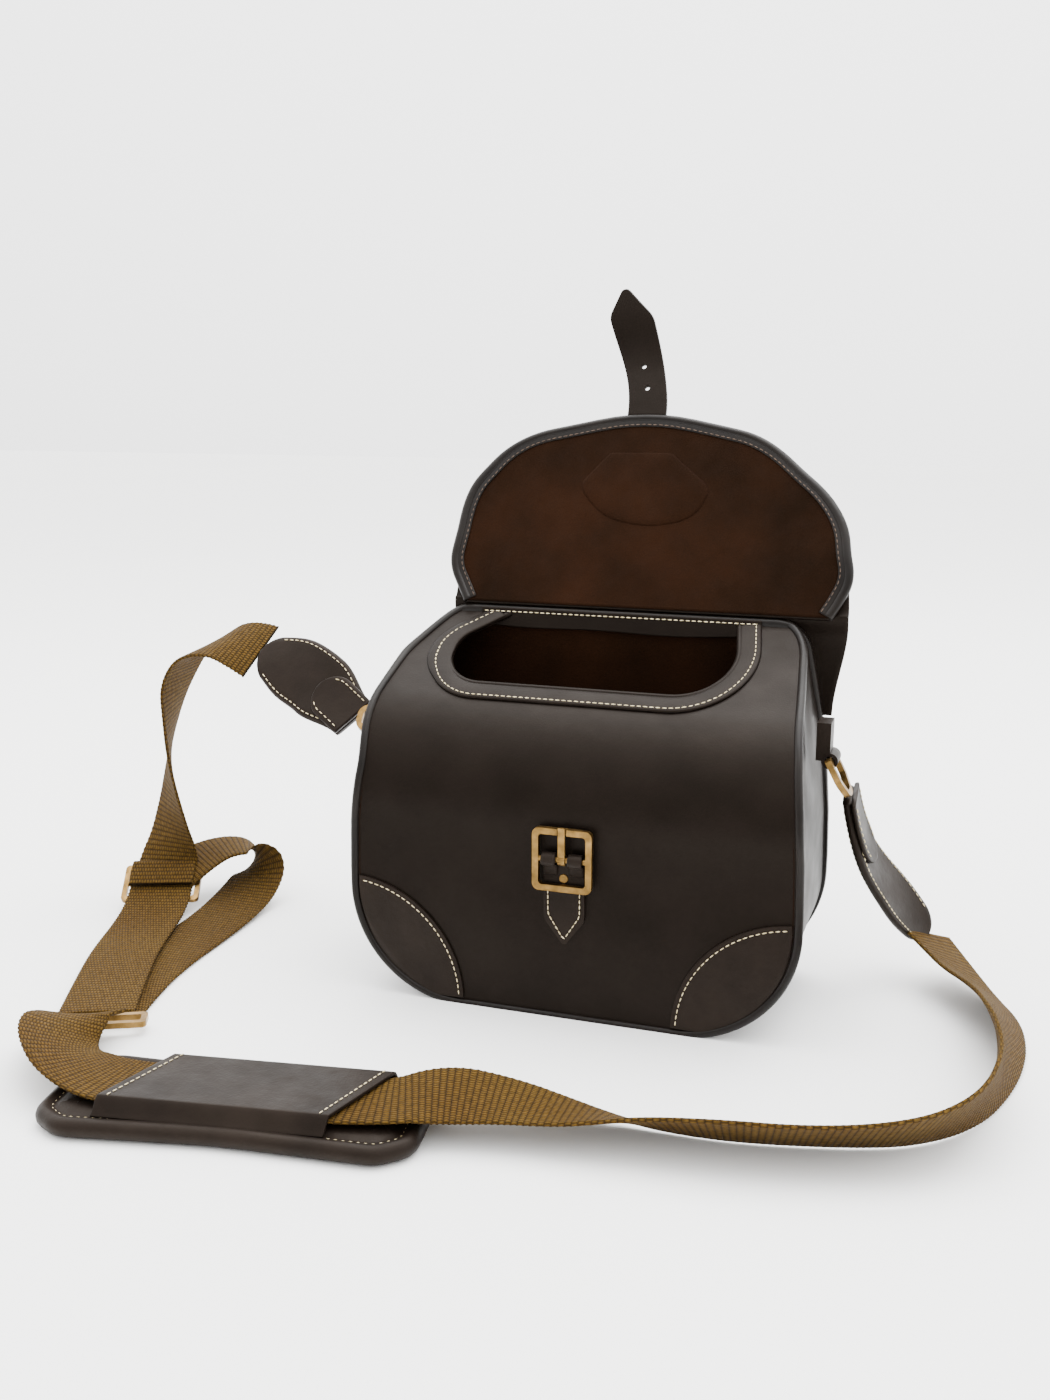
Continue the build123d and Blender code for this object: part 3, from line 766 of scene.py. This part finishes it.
def make_chape():
    """Pointed tongue rolled round the buckle's bar, with a slot for the prong and stitches round its edge."""
    tip, top, half = 45.0, 97.0, 12.0
    corners = [(-half, top), (-half, tip + 16), (0, tip), (half, tip + 16), (half, top)]
    edge = rounded(corners, [0, 8, 2, 8, 0], closed=False)
    right = [Vector((abs(p.x), p.y)) for p in spaced(edge, 161)[80:]]

    def place(u, v):
        p = right[round(v * 80)]
        x = (2 * u - 1) * p.x
        return on_front(x, FRONT_LENGTH - p.y, 2.5)
    bm = mapped(20, 80, place)
    bmesh.ops.recalc_face_normals(bm, faces=bm.faces)
    face_outwards(bm)
    tongue = finish("buckle_tongue", bm, SOFT_LEATHER, "patch_leather", "root", solid=2.6, bevel=0.5)
    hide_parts("buckle_chape")
    bar = Vector((0, -63.7, 98.0))
    for name, x0, x1 in (("left", -12.0, -3.4), ("right", 3.4, 12.0)):
        arc = []
        for k in range(25):
            angle = math.radians(-110 + 330 * k / 24 * 0.82)
            arc.append(bar + Vector((0, -math.cos(angle) * 3.1, math.sin(angle) * 3.1)))
        arc = [Vector((0, -60.3, 88.0)), Vector((0, -61.6, 92.5))] + arc + [Vector((0, -59.2, 96)), Vector((0, -58.6, 90))]
        centre = [p + Vector(((x0 + x1) / 2, 0, 0)) for p in spaced(arc, 60)]
        ups = []
        for i in range(60):
            ahead = centre[min(i + 1, 59)] - centre[max(i - 1, 0)]
            ups.append(ahead.cross(Vector((1, 0, 0))))
        roll = sweep(framed(centre, ups), strip(x1 - x0, 1.8))
        finish(f"buckle_roll_{name}", roll, SOFT_LEATHER, "patch_leather", "root")
    inner = [Vector((p.x * 0.78, tip + 4.2 + (p.y - tip) * 0.93)) for p in spaced(edge, 90) if p.y < top - 19]
    inner += [Vector((inner[-1].x * (1 - k / 6), inner[-1].y)) for k in range(1, 13)]
    points = [on_front(p.x, FRONT_LENGTH - p.y, 2.8) for p in inner]
    stitches("tongue_stitches", framed(points, Vector((0, -1, 0))), pitch=3.2)


# ---------------------------------------------------------------- the lid


def on_lid(x, s, out=0.0):
    """Point on the open lid's mid layer: across, along from the hinge, and towards the suede side."""
    right = smoothstep(x, 50, 115)
    x += (11.0 + 4.0 * right * (1 - smoothstep(s, 0, 40))) * (1 - smoothstep(s, 45, 110)) - 3.0 * right * smoothstep(s, 20, 70)
    cup = 5.0 * smoothstep(abs(x), 85, 140) * smoothstep(s, 0, 40)
    wave = 1.2 * math.sin(x * 0.035 + 1.0) * smoothstep(s, 10, 60)
    d = out + cup + wave
    return HINGE + Vector((x, s * math.sin(LID_LEAN) - d * math.cos(LID_LEAN), s * math.cos(LID_LEAN) + d * math.sin(LID_LEAN)))


LID_NORMAL = Vector((0, -math.cos(LID_LEAN), math.sin(LID_LEAN)))


def lid_edge(grow, count):
    """Right half of the lid's outline as (half width, along), from the hinge side to the middle of the tip."""
    corners = [(113, -2), (127, 22), (123, 70), (83, 114), (0, 131.5), (-83, 114)]
    line = rounded(corners, [0, 30, 62, 70, 150, 0], closed=False)
    half = [p for p in line if p.x >= -0.01][:]
    half.append(Vector((0, half[-1].y)))
    half = spaced(half, count)
    result = []
    for i, p in enumerate(half):
        ahead = half[min(i + 1, count - 1)] - half[max(i - 1, 0)]
        outwards = Vector((ahead.y, -ahead.x)).normalized()
        q = p + outwards * grow
        result.append(Vector((max(0.0, q.x), q.y)))
    result[-1].x = 0.0
    return result


def bend_lid(piece):
    """Bake a piece of the lid's transform into its mesh. The soft bend behind its front edge is not made."""
    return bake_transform(piece, "lid_rear", "lid_front", start=on_lid(0, 95) * MM, end=on_lid(0, 111) * MM)


def make_lid():
    """Outer leather, suede, rolled edge and its seam."""
    layers = (("lid_leather", -1.0, 0.0, 2.2, BRIDLE, "bag_leather", "lid_rear", "lid_front"),
              ("lid_suede", 0.9, -2.0, 1.2, SUEDE_NAP, "suede", "lid_rear_lining", "lid_front_lining"))
    rows = 130
    for name, out, grow, wall, material, slot, *nodes in layers:
        edge = lid_edge(grow, rows + 1)

        def place(u, v):
            p = edge[round(v * rows)]
            return on_lid((2 * u - 1) * p.x, p.y, out)
        bm = mapped(110, rows, place)
        bmesh.ops.recalc_face_normals(bm, faces=bm.faces)
        if sum(f.normal.dot(LID_NORMAL) * f.calc_area() for f in bm.faces) < 0:
            bmesh.ops.reverse_faces(bm, faces=bm.faces)
        piece = finish(name, bm, material, slot, solid=wall, offset=0)
        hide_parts(*nodes)
        bend_lid(piece)
    for name, grow, out, shape, material, slot in (
        ("lid_edge_roll", -2.2, 0.4, circle(3.0), ROLLED, "edge_leather"),
        ("lid_edge_lap", -6.0, 1.7, strip(4.5, 1.4), ROLLED, "edge_leather"),
    ):
        half = lid_edge(grow, 160)
        line = half + [Vector((-p.x, p.y)) for p in reversed(half)][1:]
        points = [on_lid(p.x, p.y, out) for p in line]
        bend_lid(finish(name, sweep(framed(points, LID_NORMAL), shape), material, slot))
    half = lid_edge(-7.0, 160)
    line = half + [Vector((-p.x, p.y)) for p in reversed(half)][1:]
    points = [on_lid(p.x, p.y, 2.4) for p in line]
    bm = bmesh.new()
    sew(bm, framed(points, LID_NORMAL))
    bend_lid(finish("lid_stitches", bm, DARK_THREAD, "stitching"))


def make_lid_patch():
    """Suede patch on the inside of the lid."""
    corners = [(-20, 25), (-43, 2), (-30, -19), (0, -26), (30, -19), (43, 2), (20, 25)]
    edge = spaced(rounded(corners, [3, 8, 30, 60, 30, 8, 3]), 97)
    at_x, at_s = 5.0, 77.0

    def place(u, v):
        p = edge[round(u * 96)] * v
        out = 1.6 + 1.3 * (1 - v ** 10)
        x = at_x - 11.0 * (1 - smoothstep(at_s, 45, 110))
        return on_lid(x + p.x, at_s + p.y, out)
    bm = mapped(96, 22, place)
    bmesh.ops.recalc_face_normals(bm, faces=bm.faces)
    if sum(f.normal.dot(LID_NORMAL) for f in bm.faces) < 0:
        bmesh.ops.reverse_faces(bm, faces=bm.faces)
    patch = finish("lid_suede_patch", bm, SUEDE_NAP, "suede", "lid_rear", solid=0.8)
    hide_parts("lid_patch")


def make_hinge_leather():
    """The lid's leather where it passes down behind the bag and is sewn to the back."""
    def place(u, v):
        s = 30.0 - 90.0 * v
        left = -110.0 - 4.0 * smoothstep(v, 0.3, 0.8)
        right = 136.0 + 2.0 * smoothstep(v, 0, 0.35) - 7.0 * smoothstep(v, 0.4, 1.0)
        x = left + (right - left) * u
        if s > 0:
            shift = 11.0 + 4.0 * smoothstep(x, 61, 126) * (1 - smoothstep(s, 0, 40))
            return on_lid(x - shift, s, -2.9)
        bent = smoothstep(-s, 0, 14)
        return Vector((x, HINGE.y + 1.9 + s * 0.03 + 2.9 * bent, HINGE.z + s))
    bm = mapped(90, 30, place)
    face_outwards(bm)
    piece = finish("lid_hinge_leather", bm, BRIDLE, "bag_leather", solid=2.0, offset=0, bevel=0.4)
    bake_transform(piece)


def make_closing_strap():
    """The strap at the lid's front edge: long, soft at the tip, with two punched holes."""
    length, half = 87.0, 12.5
    corners = [(half, 0), (half, length - 18), (0, length), (-half, length - 18)]
    edge = rounded(corners, [0, 12, 3, 0], closed=False)
    side = spaced([p for p in edge if p.x >= -0.01], 71)

    def lay(x, s):
        """Bend the strap sideways and forwards towards its tip."""
        share = s / length
        curl = max(0.0, s - 30.0) ** 2 / 150.0
        wide = x * (1 + 0.16 * smoothstep(share, 0.2, 0.8))
        return on_lid(wide - 22.0 * smoothstep(share, 0, 1.15), 128.0 + s - 6.0 * share ** 2, 1.0 + curl)

    def place(u, v):
        p = side[round(v * 70)]
        return lay((2 * u - 1) * max(p.x, 0.0), p.y)
    bm = mapped(24, 70, place)
    bmesh.ops.recalc_face_normals(bm, faces=bm.faces)
    strap = finish("closing_strap_leather", bm, BRIDLE, "bag_leather", solid=2.4, offset=0, bevel=0.5)
    for at in (19.0, 35.0):
        cutter = bmesh.new()
        aim = Matrix.Rotation(LID_LEAN + math.pi / 2, 4, "X").inverted()
        bmesh.ops.create_cone(cutter, cap_ends=True, segments=24, radius1=1.6, radius2=1.6, depth=20,
                              matrix=Matrix.Translation(lay(0, at)) @ LID_NORMAL.to_track_quat("Z", "Y").to_matrix().to_4x4())
        punch = finish("punch", cutter, RAW_EDGE, None)
        cut = strap.modifiers.new("hole", "BOOLEAN")
        cut.operation = "DIFFERENCE"
        cut.object = punch
        bpy.context.view_layer.update()
        made = bpy.data.meshes.new_from_object(strap.evaluated_get(bpy.context.evaluated_depsgraph_get()))
        strap.modifiers.clear()
        strap.data = made
        bpy.data.objects.remove(punch)
    for polygon in strap.data.polygons:
        polygon.use_smooth = True
    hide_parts("closing_strap")
    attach(strap, "closing_strap")


# ---------------------------------------------------------------- straps

# Routes in metres: the point, and the direction across the strap there.

LEFT_CHAPE_ROUTE = [
    ((-0.165, 0.017, 0.148), (0.0, 0.6, 0.8)),
    ((-0.182, 0.022, 0.160), (0.0, 0.55, 0.83)),
    ((-0.207, 0.029, 0.175), (0.05, 0.45, 0.89)),
    ((-0.239, 0.033, 0.185), (0.1, 0.62, 0.77)),
]

RIGHT_CHAPE_ROUTE = [
    ((0.146, 0.029, 0.124), (0.0, -1.0, 0.0)),
    ((0.149, 0.033, 0.106), (0.0, -1.0, 0.0)),
    ((0.159, 0.043, 0.080), (-0.2, -0.97, 0.1)),
    ((0.176, 0.057, 0.053), (-0.45, -0.85, 0.25)),
    ((0.194, 0.070, 0.028), (-0.7, -0.6, 0.4)),
]

UPPER_ROUTE = [
    ((-0.2395, 0.033, 0.1852), (0.1, 0.66, 0.74)),
    ((-0.258, 0.034, 0.192), (0.05, 0.86, 0.48)),
    ((-0.277, 0.036, 0.188), (0.0, 0.98, 0.15)),
    ((-0.296, 0.038, 0.179), (0.0, 1.0, 0.0)),
    ((-0.308, 0.039, 0.161), (0.0, 1.0, 0.0)),
    ((-0.314, 0.040, 0.140), (-0.25, 0.96, 0.0)),
    ((-0.318, 0.040, 0.116), (-0.45, 0.89, 0.0)),
    ((-0.320, 0.041, 0.092), (-0.62, 0.78, 0.0)),
    ((-0.321, 0.042, 0.068), (-0.8, 0.6, 0.0)),
    ((-0.322, 0.042, 0.046), (-0.93, 0.3, 0.0)),
    ((-0.322, 0.036, 0.029), (-0.96, -0.2, 0.0)),
    ((-0.318, 0.020, 0.018), (-0.934, -0.358, 0.0)),
    ((-0.311, 0.001, 0.0095), (-0.934, -0.358, 0.0)),
    ((-0.303, -0.026, 0.006), (-0.934, -0.358, 0.0)),
    ((-0.291, -0.064, 0.006), (-0.93, -0.36, 0.0)),
    ((-0.275, -0.102, 0.006), (-0.92, -0.39, 0.0)),
    ((-0.253, -0.150, 0.006), (-0.91, -0.42, 0.0)),
]

SLACK_ROUTE = [
    ((-0.250, -0.150, 0.0018), (-0.91, -0.42, 0.0)),
    ((-0.261, -0.108, 0.0018), (-0.96, -0.28, 0.0)),
    ((-0.266, -0.064, 0.0018), (-1.0, -0.05, 0.0)),
    ((-0.266, -0.024, 0.0018), (-1.0, 0.0, 0.0)),
    ((-0.266, 0.014, 0.003), (-1.0, 0.05, 0.0)),
    ((-0.266, 0.046, 0.008), (-0.97, 0.2, 0.05)),
    ((-0.266, 0.068, 0.020), (-0.85, 0.45, 0.1)),
    ((-0.274, 0.074, 0.033), (-0.75, 0.65, 0.0)),
    ((-0.289, 0.063, 0.036), (-0.75, 0.65, 0.0)),
    ((-0.303, 0.048, 0.031), (-0.9, 0.3, 0.0)),
    ((-0.314, 0.031, 0.0245), (-0.93, -0.36, 0.0)),
]

LOWER_ROUTE = [
    ((-0.242, -0.162, 0.010), (-0.91, -0.42, 0.0)),
    ((-0.246, -0.172, 0.016), (-0.9, -0.42, 0.05)),
    ((-0.246, -0.184, 0.019), (-0.78, -0.6, 0.15)),
    ((-0.242, -0.198, 0.019), (-0.5, -0.8, 0.33)),
    ((-0.231, -0.212, 0.018), (-0.25, -0.9, 0.33)),
    ((-0.214, -0.223, 0.0165), (-0.1, -0.97, 0.15)),
    ((-0.185, -0.231, 0.015), (-0.156, -0.988, 0.0)),
    ((-0.150, -0.2255, 0.015), (-0.156, -0.988, 0.0)),
    ((-0.116, -0.220, 0.015), (-0.156, -0.988, 0.0)),
    ((-0.082, -0.2145, 0.015), (-0.156, -0.988, 0.0)),
    ((-0.050, -0.209, 0.015), (-0.156, -0.988, 0.0)),
    ((-0.020, -0.196, 0.019), (-0.12, -0.96, -0.2)),
    ((0.010, -0.189, 0.017), (-0.1, -0.98, 0.0)),
    ((0.038, -0.186, 0.014), (-0.08, -0.97, 0.2)),
    ((0.060, -0.184, 0.013), (-0.03, -0.9, 0.4)),
    ((0.081, -0.183, 0.0137), (0.0, -0.82, 0.57)),
    ((0.115, -0.181, 0.0153), (0.05, -0.76, 0.65)),
    ((0.150, -0.1745, 0.0152), (0.16, -0.75, 0.64)),
    ((0.183, -0.165, 0.016), (0.2, -0.71, 0.67)),
    ((0.206, -0.154, 0.0175), (0.34, -0.58, 0.74)),
    ((0.224, -0.136, 0.020), (0.36, -0.38, 0.85)),
    ((0.236, -0.108, 0.0225), (0.15, -0.1, 0.98)),
    ((0.2395, -0.076, 0.0226), (-0.2, 0.05, 0.98)),
    ((0.240, -0.046, 0.0205), (-0.5, 0.05, 0.86)),
    ((0.2385, -0.016, 0.0175), (-0.68, -0.05, 0.73)),
    ((0.233, 0.012, 0.0148), (-0.78, -0.18, 0.6)),
    ((0.221, 0.036, 0.0138), (-0.77, -0.35, 0.54)),
    ((0.209, 0.054, 0.019), (-0.74, -0.48, 0.5)),
    ((0.1945, 0.070, 0.0276), (-0.7, -0.6, 0.4)),
]


def spline_points(points):
    """Points along the smooth line that these control points make, in their own units."""
    curve = bpy.data.curves.new("route", "CURVE")
    curve.dimensions = "3D"
    curve.resolution_u = 32
    spline = curve.splines.new("NURBS")
    spline.points.add(len(points) - 1)
    for control, point in zip(spline.points, points):
        control.co = (*point, 1.0)
    spline.order_u = 3
    spline.use_endpoint_u = True
    holder = bpy.data.objects.new("route", curve)
    mesh = bpy.data.meshes.new_from_object(holder)
    line = [v.co.copy() for v in mesh.vertices]
    bpy.data.objects.remove(holder)
    bpy.data.curves.remove(curve)
    return line


def strap_frames(route, step):
    """Frames in millimetres along a route's spline, and the same centre line in metres."""
    reach = 0.02
    centre = spline_points([Vector(p) for p, across in route])
    beside = spline_points([Vector(p) + Vector(across).normalized() * reach for p, across in route])
    total = lengths(centre)
    count = max(8, round(total[-1] / (step * MM)))
    frames = []
    k = 0
    for i in range(count + 1):
        want = total[-1] * i / count
        while k < len(centre) - 2 and total[k + 1] < want:
            k += 1
        share = (want - total[k]) / (total[k + 1] - total[k])
        point = centre[k].lerp(centre[k + 1], share)
        across = beside[k].lerp(beside[k + 1], share) - point
        ahead = (centre[k + 1] - centre[k]).normalized()
        across = (across - ahead * across.dot(ahead)).normalized()
        frames.append((point / MM, across, ahead.cross(across)))
    return frames, centre


def make_webbing(name, route, node):
    """One run of webbing along its route, with the small teeth that the weft makes along each edge."""
    frames, centre = strap_frames(route, RIB / 3)
    count = len(frames) - 1
    flat = strip(WEBBING_WIDTH, WEBBING, 0.0, 18)
    run = lengths([f[0] for f in frames])

    def section(share):
        tooth = 0.35 * math.cos(2 * math.pi * run[round(share * count)] / RIB)
        stretch = 1 + tooth / (WEBBING_WIDTH / 2)
        return [(a * stretch, b) for a, b in flat]
    piece = finish(name, sweep(frames, section), KHAKI, "webbing", "root")
    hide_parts(node)
    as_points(centre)
    return frames


def leaf_width(share, wide):
    """Width of a strap end: drawn in at the ring, a full leaf past the middle, a blunt point on the webbing."""
    width = wide * (0.65 + 0.35 * smoothstep(share, 0.0, 0.4) - 0.4 * smoothstep(share, 0.5, 1.0) ** 2)
    return width * math.sqrt(max(0.03, 1 - max(0.0, (share - 0.88) / 0.12) ** 2))


def sewn_edge(bm, frames, widths, lift, inset=3.2):
    """Stitches along both edges of a flat strap, on the side that lift points to."""
    for edge in (1, -1):
        row = []
        for (point, across, up), width in zip(frames, widths):
            face = 1 if lift > 0 else -1
            row.append((point + across * (edge * (width / 2 - inset)) + up * lift, across, up * face))
        sew(bm, row)


def make_chape_leaf(side, route, wide):
    """A leather leaf sewn round the end of the webbing, with its stitched edge and the fold over the ring."""
    frames, _ = strap_frames(route, 1.2)
    count = len(frames) - 1
    widths = [leaf_width(i / count, wide) for i in range(count + 1)]
    leaf = sweep(frames, lambda share: strip(leaf_width(share, wide), 5.0, 0.4))
    piece = finish(f"{side}_strap_leaf", leaf, SOFT_LEATHER, "patch_leather", "root")
    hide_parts(f"strap_chape_{side}")
    bm = bmesh.new()
    last = int(count * 0.9)
    sewn_edge(bm, frames[4:last], widths[4:last], 2.75)
    sewn_edge(bm, frames[4:last], widths[4:last], -2.75)
    fold = [(point - up * 3.9, across, up) for point, across, up in frames[:int(count * 0.42)]]

    def fold_width(share):
        return 31.0 * math.sqrt(max(0.02, 1 - max(0.0, (share - 0.6) / 0.4) ** 2))
    tab = sweep(fold, lambda share: strip(fold_width(share), 2.6, 0.3))
    finish(f"{side}_ring_fold", tab, SOFT_LEATHER, "patch_leather", "root")
    whole = len(fold) - 1
    last = int(whole * 0.86)
    sewn_edge(bm, fold[2:last], [fold_width(i / whole) for i in range(2, last)], -1.55)
    finish(f"{side}_leaf_stitches", bm, CREAM_THREAD, "stitching", "root")


def make_slider_fold():
    """The turn of webbing that comes back over the slider's upper bar and lies on the run below it."""
    across = Vector((-0.934, -0.358, 0))
    uphill = Vector((-0.358 * 0.829, 0.934 * 0.829, 0.559))
    up = across.cross(uphill) * -1
    bar = Vector((-318, 20, 18)) + uphill * 13.3
    start = bar - uphill * 17 + up * 4.6
    points = [start, start + uphill * 9 + up * 0.3]
    points += [bar + up * 4.4 * math.cos(a) + uphill * 4.4 * math.sin(a) for a in (math.pi * k / 12 for k in range(13))]
    points.append(bar - up * 3.4 - uphill * 9)
    line = spaced(points, 40)
    ups = [across.cross(b - a) * -1 for a, b in zip(line, line[1:])]
    ups.append(ups[-1])
    fold = sweep(framed(line, ups), strip(WEBBING_WIDTH + 0.8, WEBBING, 0.0, 18))
    finish("webbing_slider_fold", fold, KHAKI, "webbing", "root")


def make_straps():
    """Strap ends and the three runs of webbing."""
    make_chape_leaf("left", LEFT_CHAPE_ROUTE, 46.0)
    make_chape_leaf("right", RIGHT_CHAPE_ROUTE, 38.0)
    make_slider_fold()
    make_webbing("webbing_upper_run", UPPER_ROUTE, "webbing_upper")
    make_webbing("webbing_slack_run", SLACK_ROUTE, "webbing_slack")
    make_webbing("webbing_lower_run", LOWER_ROUTE, "webbing_lower")


# ---------------------------------------------------------------- the shoulder pad

PAD_CENTRE = Vector((-121, -218.5, 0))
PAD_TURN = math.radians(9)
LOOP_HALF = 59.0
LOOP_SLANT = 0.42


def on_pad(x, y, z):
    """Point in the pad's own axes, along and across it."""
    return PAD_CENTRE + Vector((x * math.cos(PAD_TURN) - y * math.sin(PAD_TURN),
                                x * math.sin(PAD_TURN) + y * math.cos(PAD_TURN), z))


def pad_edge(count, inset):
    """Outline of the pad, moved inwards."""
    ends, waist = (98, 26), (81, 38.0)
    corners = [(-ends[0], -ends[1]), (-waist[0], -waist[1]), (0, -33.5), waist[:1] + (-waist[1],), (ends[0], -ends[1]),
               ends, waist, (0, 33.5), (-waist[0], waist[1]), (-ends[0], ends[1])]
    line = spaced(rounded(corners, [16, 18, 260, 18, 16, 16, 18, 260, 18, 16]), count)
    result = []
    for i, p in enumerate(line):
        ahead = line[(i + 1) % (count - 1)] - line[(i - 1) % (count - 1)]
        result.append(p + Vector((-ahead.y, ahead.x)).normalized() * inset)
    return result


def make_pad():
    """Padded base with a thick rolled edge, its sewn channel, and the panel that the webbing runs under."""
    profile = [(60, 0.4), (20, 0.2), (7, 0.2), (3, 0.8), (0.8, 2.6), (0.0, 5.2), (0.8, 8.0), (3.0, 10.2), (5.6, 10.8),
               (7.6, 9.8), (8.6, 8.6), (9.8, 9.2), (12, 10.4), (16, 11.6), (22, 12.0), (60, 12.0)]
    smooth_profile = spline_points([Vector((a, b, 0)) for a, b in profile])
    rings = spaced(smooth_profile, 61)
    edge = pad_edge(241, 0)
    normals = [b - a for a, b in zip(edge, pad_edge(241, 1))]

    def place(u, v):
        i = round(u * 240)
        inset, z = rings[round(v * 60)][:2]
        p = edge[i]
        reach = 30.0
        if inset <= reach - 6:
            q = p + normals[i] * inset
        else:
            q = (p + normals[i] * (reach - 6)) * (1 - (inset - reach + 6) / (60 - reach + 6))
        return on_pad(q.x, q.y, z)
    bm = mapped(240, 60, place)
    bmesh.ops.recalc_face_normals(bm, faces=bm.faces)
    base = finish("shoulder_pad", bm, SOFT_LEATHER, "patch_leather", "root")
    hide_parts("pad_base", "pad_foam")
    channel = [on_pad(p.x, p.y, 9.0) for p in pad_edge(241, 8.6)]
    stitches("pad_edge_stitches", framed(channel, Vector((0, 0, 1)), closed=True))
    make_pad_panel()


def panel_height(y):
    """Height of the loop panel's top across the pad: down to the pad at its edges, over the webbing between."""
    return 10.2 + 9.2 * (1 - smoothstep(abs(y), 23.5, 29.0))


def make_pad_panel():
    """The leather panel over the webbing, with slanted sewn ends and a raw far edge."""
    near, far = -29.0, 28.5

    def spot(along, y, lift=0.0):
        x = 6.0 + along * LOOP_HALF + LOOP_SLANT * y
        return on_pad(x, y, panel_height(y) + lift)

    def place(u, v):
        return spot(2 * u - 1, near + (far - near) * v)
    bm = mapped(70, 44, place)
    bmesh.ops.recalc_face_normals(bm, faces=bm.faces)
    if sum(f.normal.z for f in bm.faces) < 0:
        bmesh.ops.reverse_faces(bm, faces=bm.faces)
    panel = finish("pad_loop_panel", bm, SOFT_LEATHER, "patch_leather", "root", solid=2.0, bevel=0.5)
    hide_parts("pad_loop")
    bm = bmesh.new()
    for end in (-1, 1):
        at = end * (1 - 5.0 / LOOP_HALF)
        row = [spot(at, -24 + 48 * k / 30, 0.25) for k in range(31)]
        sew(bm, framed(row, Vector((0, 0, 1))))
    finish("panel_end_stitches", bm, CREAM_THREAD, "stitching", "root")


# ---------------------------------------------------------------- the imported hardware


def dress_hardware():
    """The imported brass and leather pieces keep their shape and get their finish."""
    finishes = {
        BRASS: ("buckle_frame", "buckle_prong", "chape_rivet", "d_ring_left", "d_ring_right", "slider", "strap_ring"),
        SOFT_LEATHER: ("ring_tab_left", "ring_tab_right"),
    }
    for material, names in finishes.items():
        for name in names:
            node = frame["nodes"][name]
            node.data.materials.clear()
            node.data.materials.append(material)


# ---------------------------------------------------------------- studio


def make_studio():
    """Pale floor, a large soft light overhead, two weak fills, and a surround that is bright behind the bag."""
    bm = bmesh.new()
    bmesh.ops.create_grid(bm, x_segments=1, y_segments=1, size=6000)
    floor = finish("floor", bm, floor_paper(), None)
    lights = (
        ("overhead", (0.1, 0.35, 1.8), 1.8, 60.0),
        ("left_fill", (-1.7, -0.3, 1.1), 1.2, 5.0),
        ("right_fill", (1.7, -0.1, 1.1), 1.2, 4.0),
    )
    for name, place, size, power in lights:
        light = bpy.data.lights.new(name, "AREA")
        light.shape = "SQUARE"
        light.size = size
        light.energy = power
        lamp = bpy.data.objects.new(name, light)
        lamp.location = place
        lamp.rotation_euler = (Vector((0, 0, 0.1)) - Vector(place)).to_track_quat("-Z", "Y").to_euler()
        bpy.context.scene.collection.objects.link(lamp)
    world = bpy.data.worlds.new("studio")
    world.use_nodes = True
    tree = world.node_tree
    coords = tree.nodes.new("ShaderNodeTexCoord")
    split = add(tree, "ShaderNodeSeparateXYZ", {"Vector": coords.outputs["Generated"]})
    high = {0: split.outputs["Z"], 1: 1.5, 2: split.outputs["Y"]}
    height = add(tree, "ShaderNodeMath", high, operation="MULTIPLY_ADD")
    spread = {"Value": height.outputs[0], "From Min": -1.0, "From Max": 1.6, "To Min": 0.5, "To Max": 4.6}
    brightness = add(tree, "ShaderNodeMapRange", spread)
    tree.nodes["Background"].inputs["Color"].default_value = linear("ffffff")
    tree.links.new(brightness.outputs["Result"], tree.nodes["Background"].inputs["Strength"])
    bpy.context.scene.world = world
    camera = bpy.data.cameras.new("camera")
    camera.lens = 36.0
    camera.sensor_width = 36.0
    camera.shift_y = 0.0142
    view = bpy.data.objects.new("camera", camera)
    view.location = (0.2188, -0.7753, 0.3561)
    view.rotation_euler = (math.radians(90 - 13.4), 0, math.radians(18.7))
    bpy.context.scene.collection.objects.link(view)
    bpy.context.scene.camera = view


make_studio()
make_straps()
make_shell()
make_piping()
make_back_binding()
make_mouth_facing()
make_mouth_back_strip()
make_corner_patches()
make_chape()
make_lid()
make_lid_patch()
make_hinge_leather()
make_closing_strap()
make_pad()
dress_hardware()
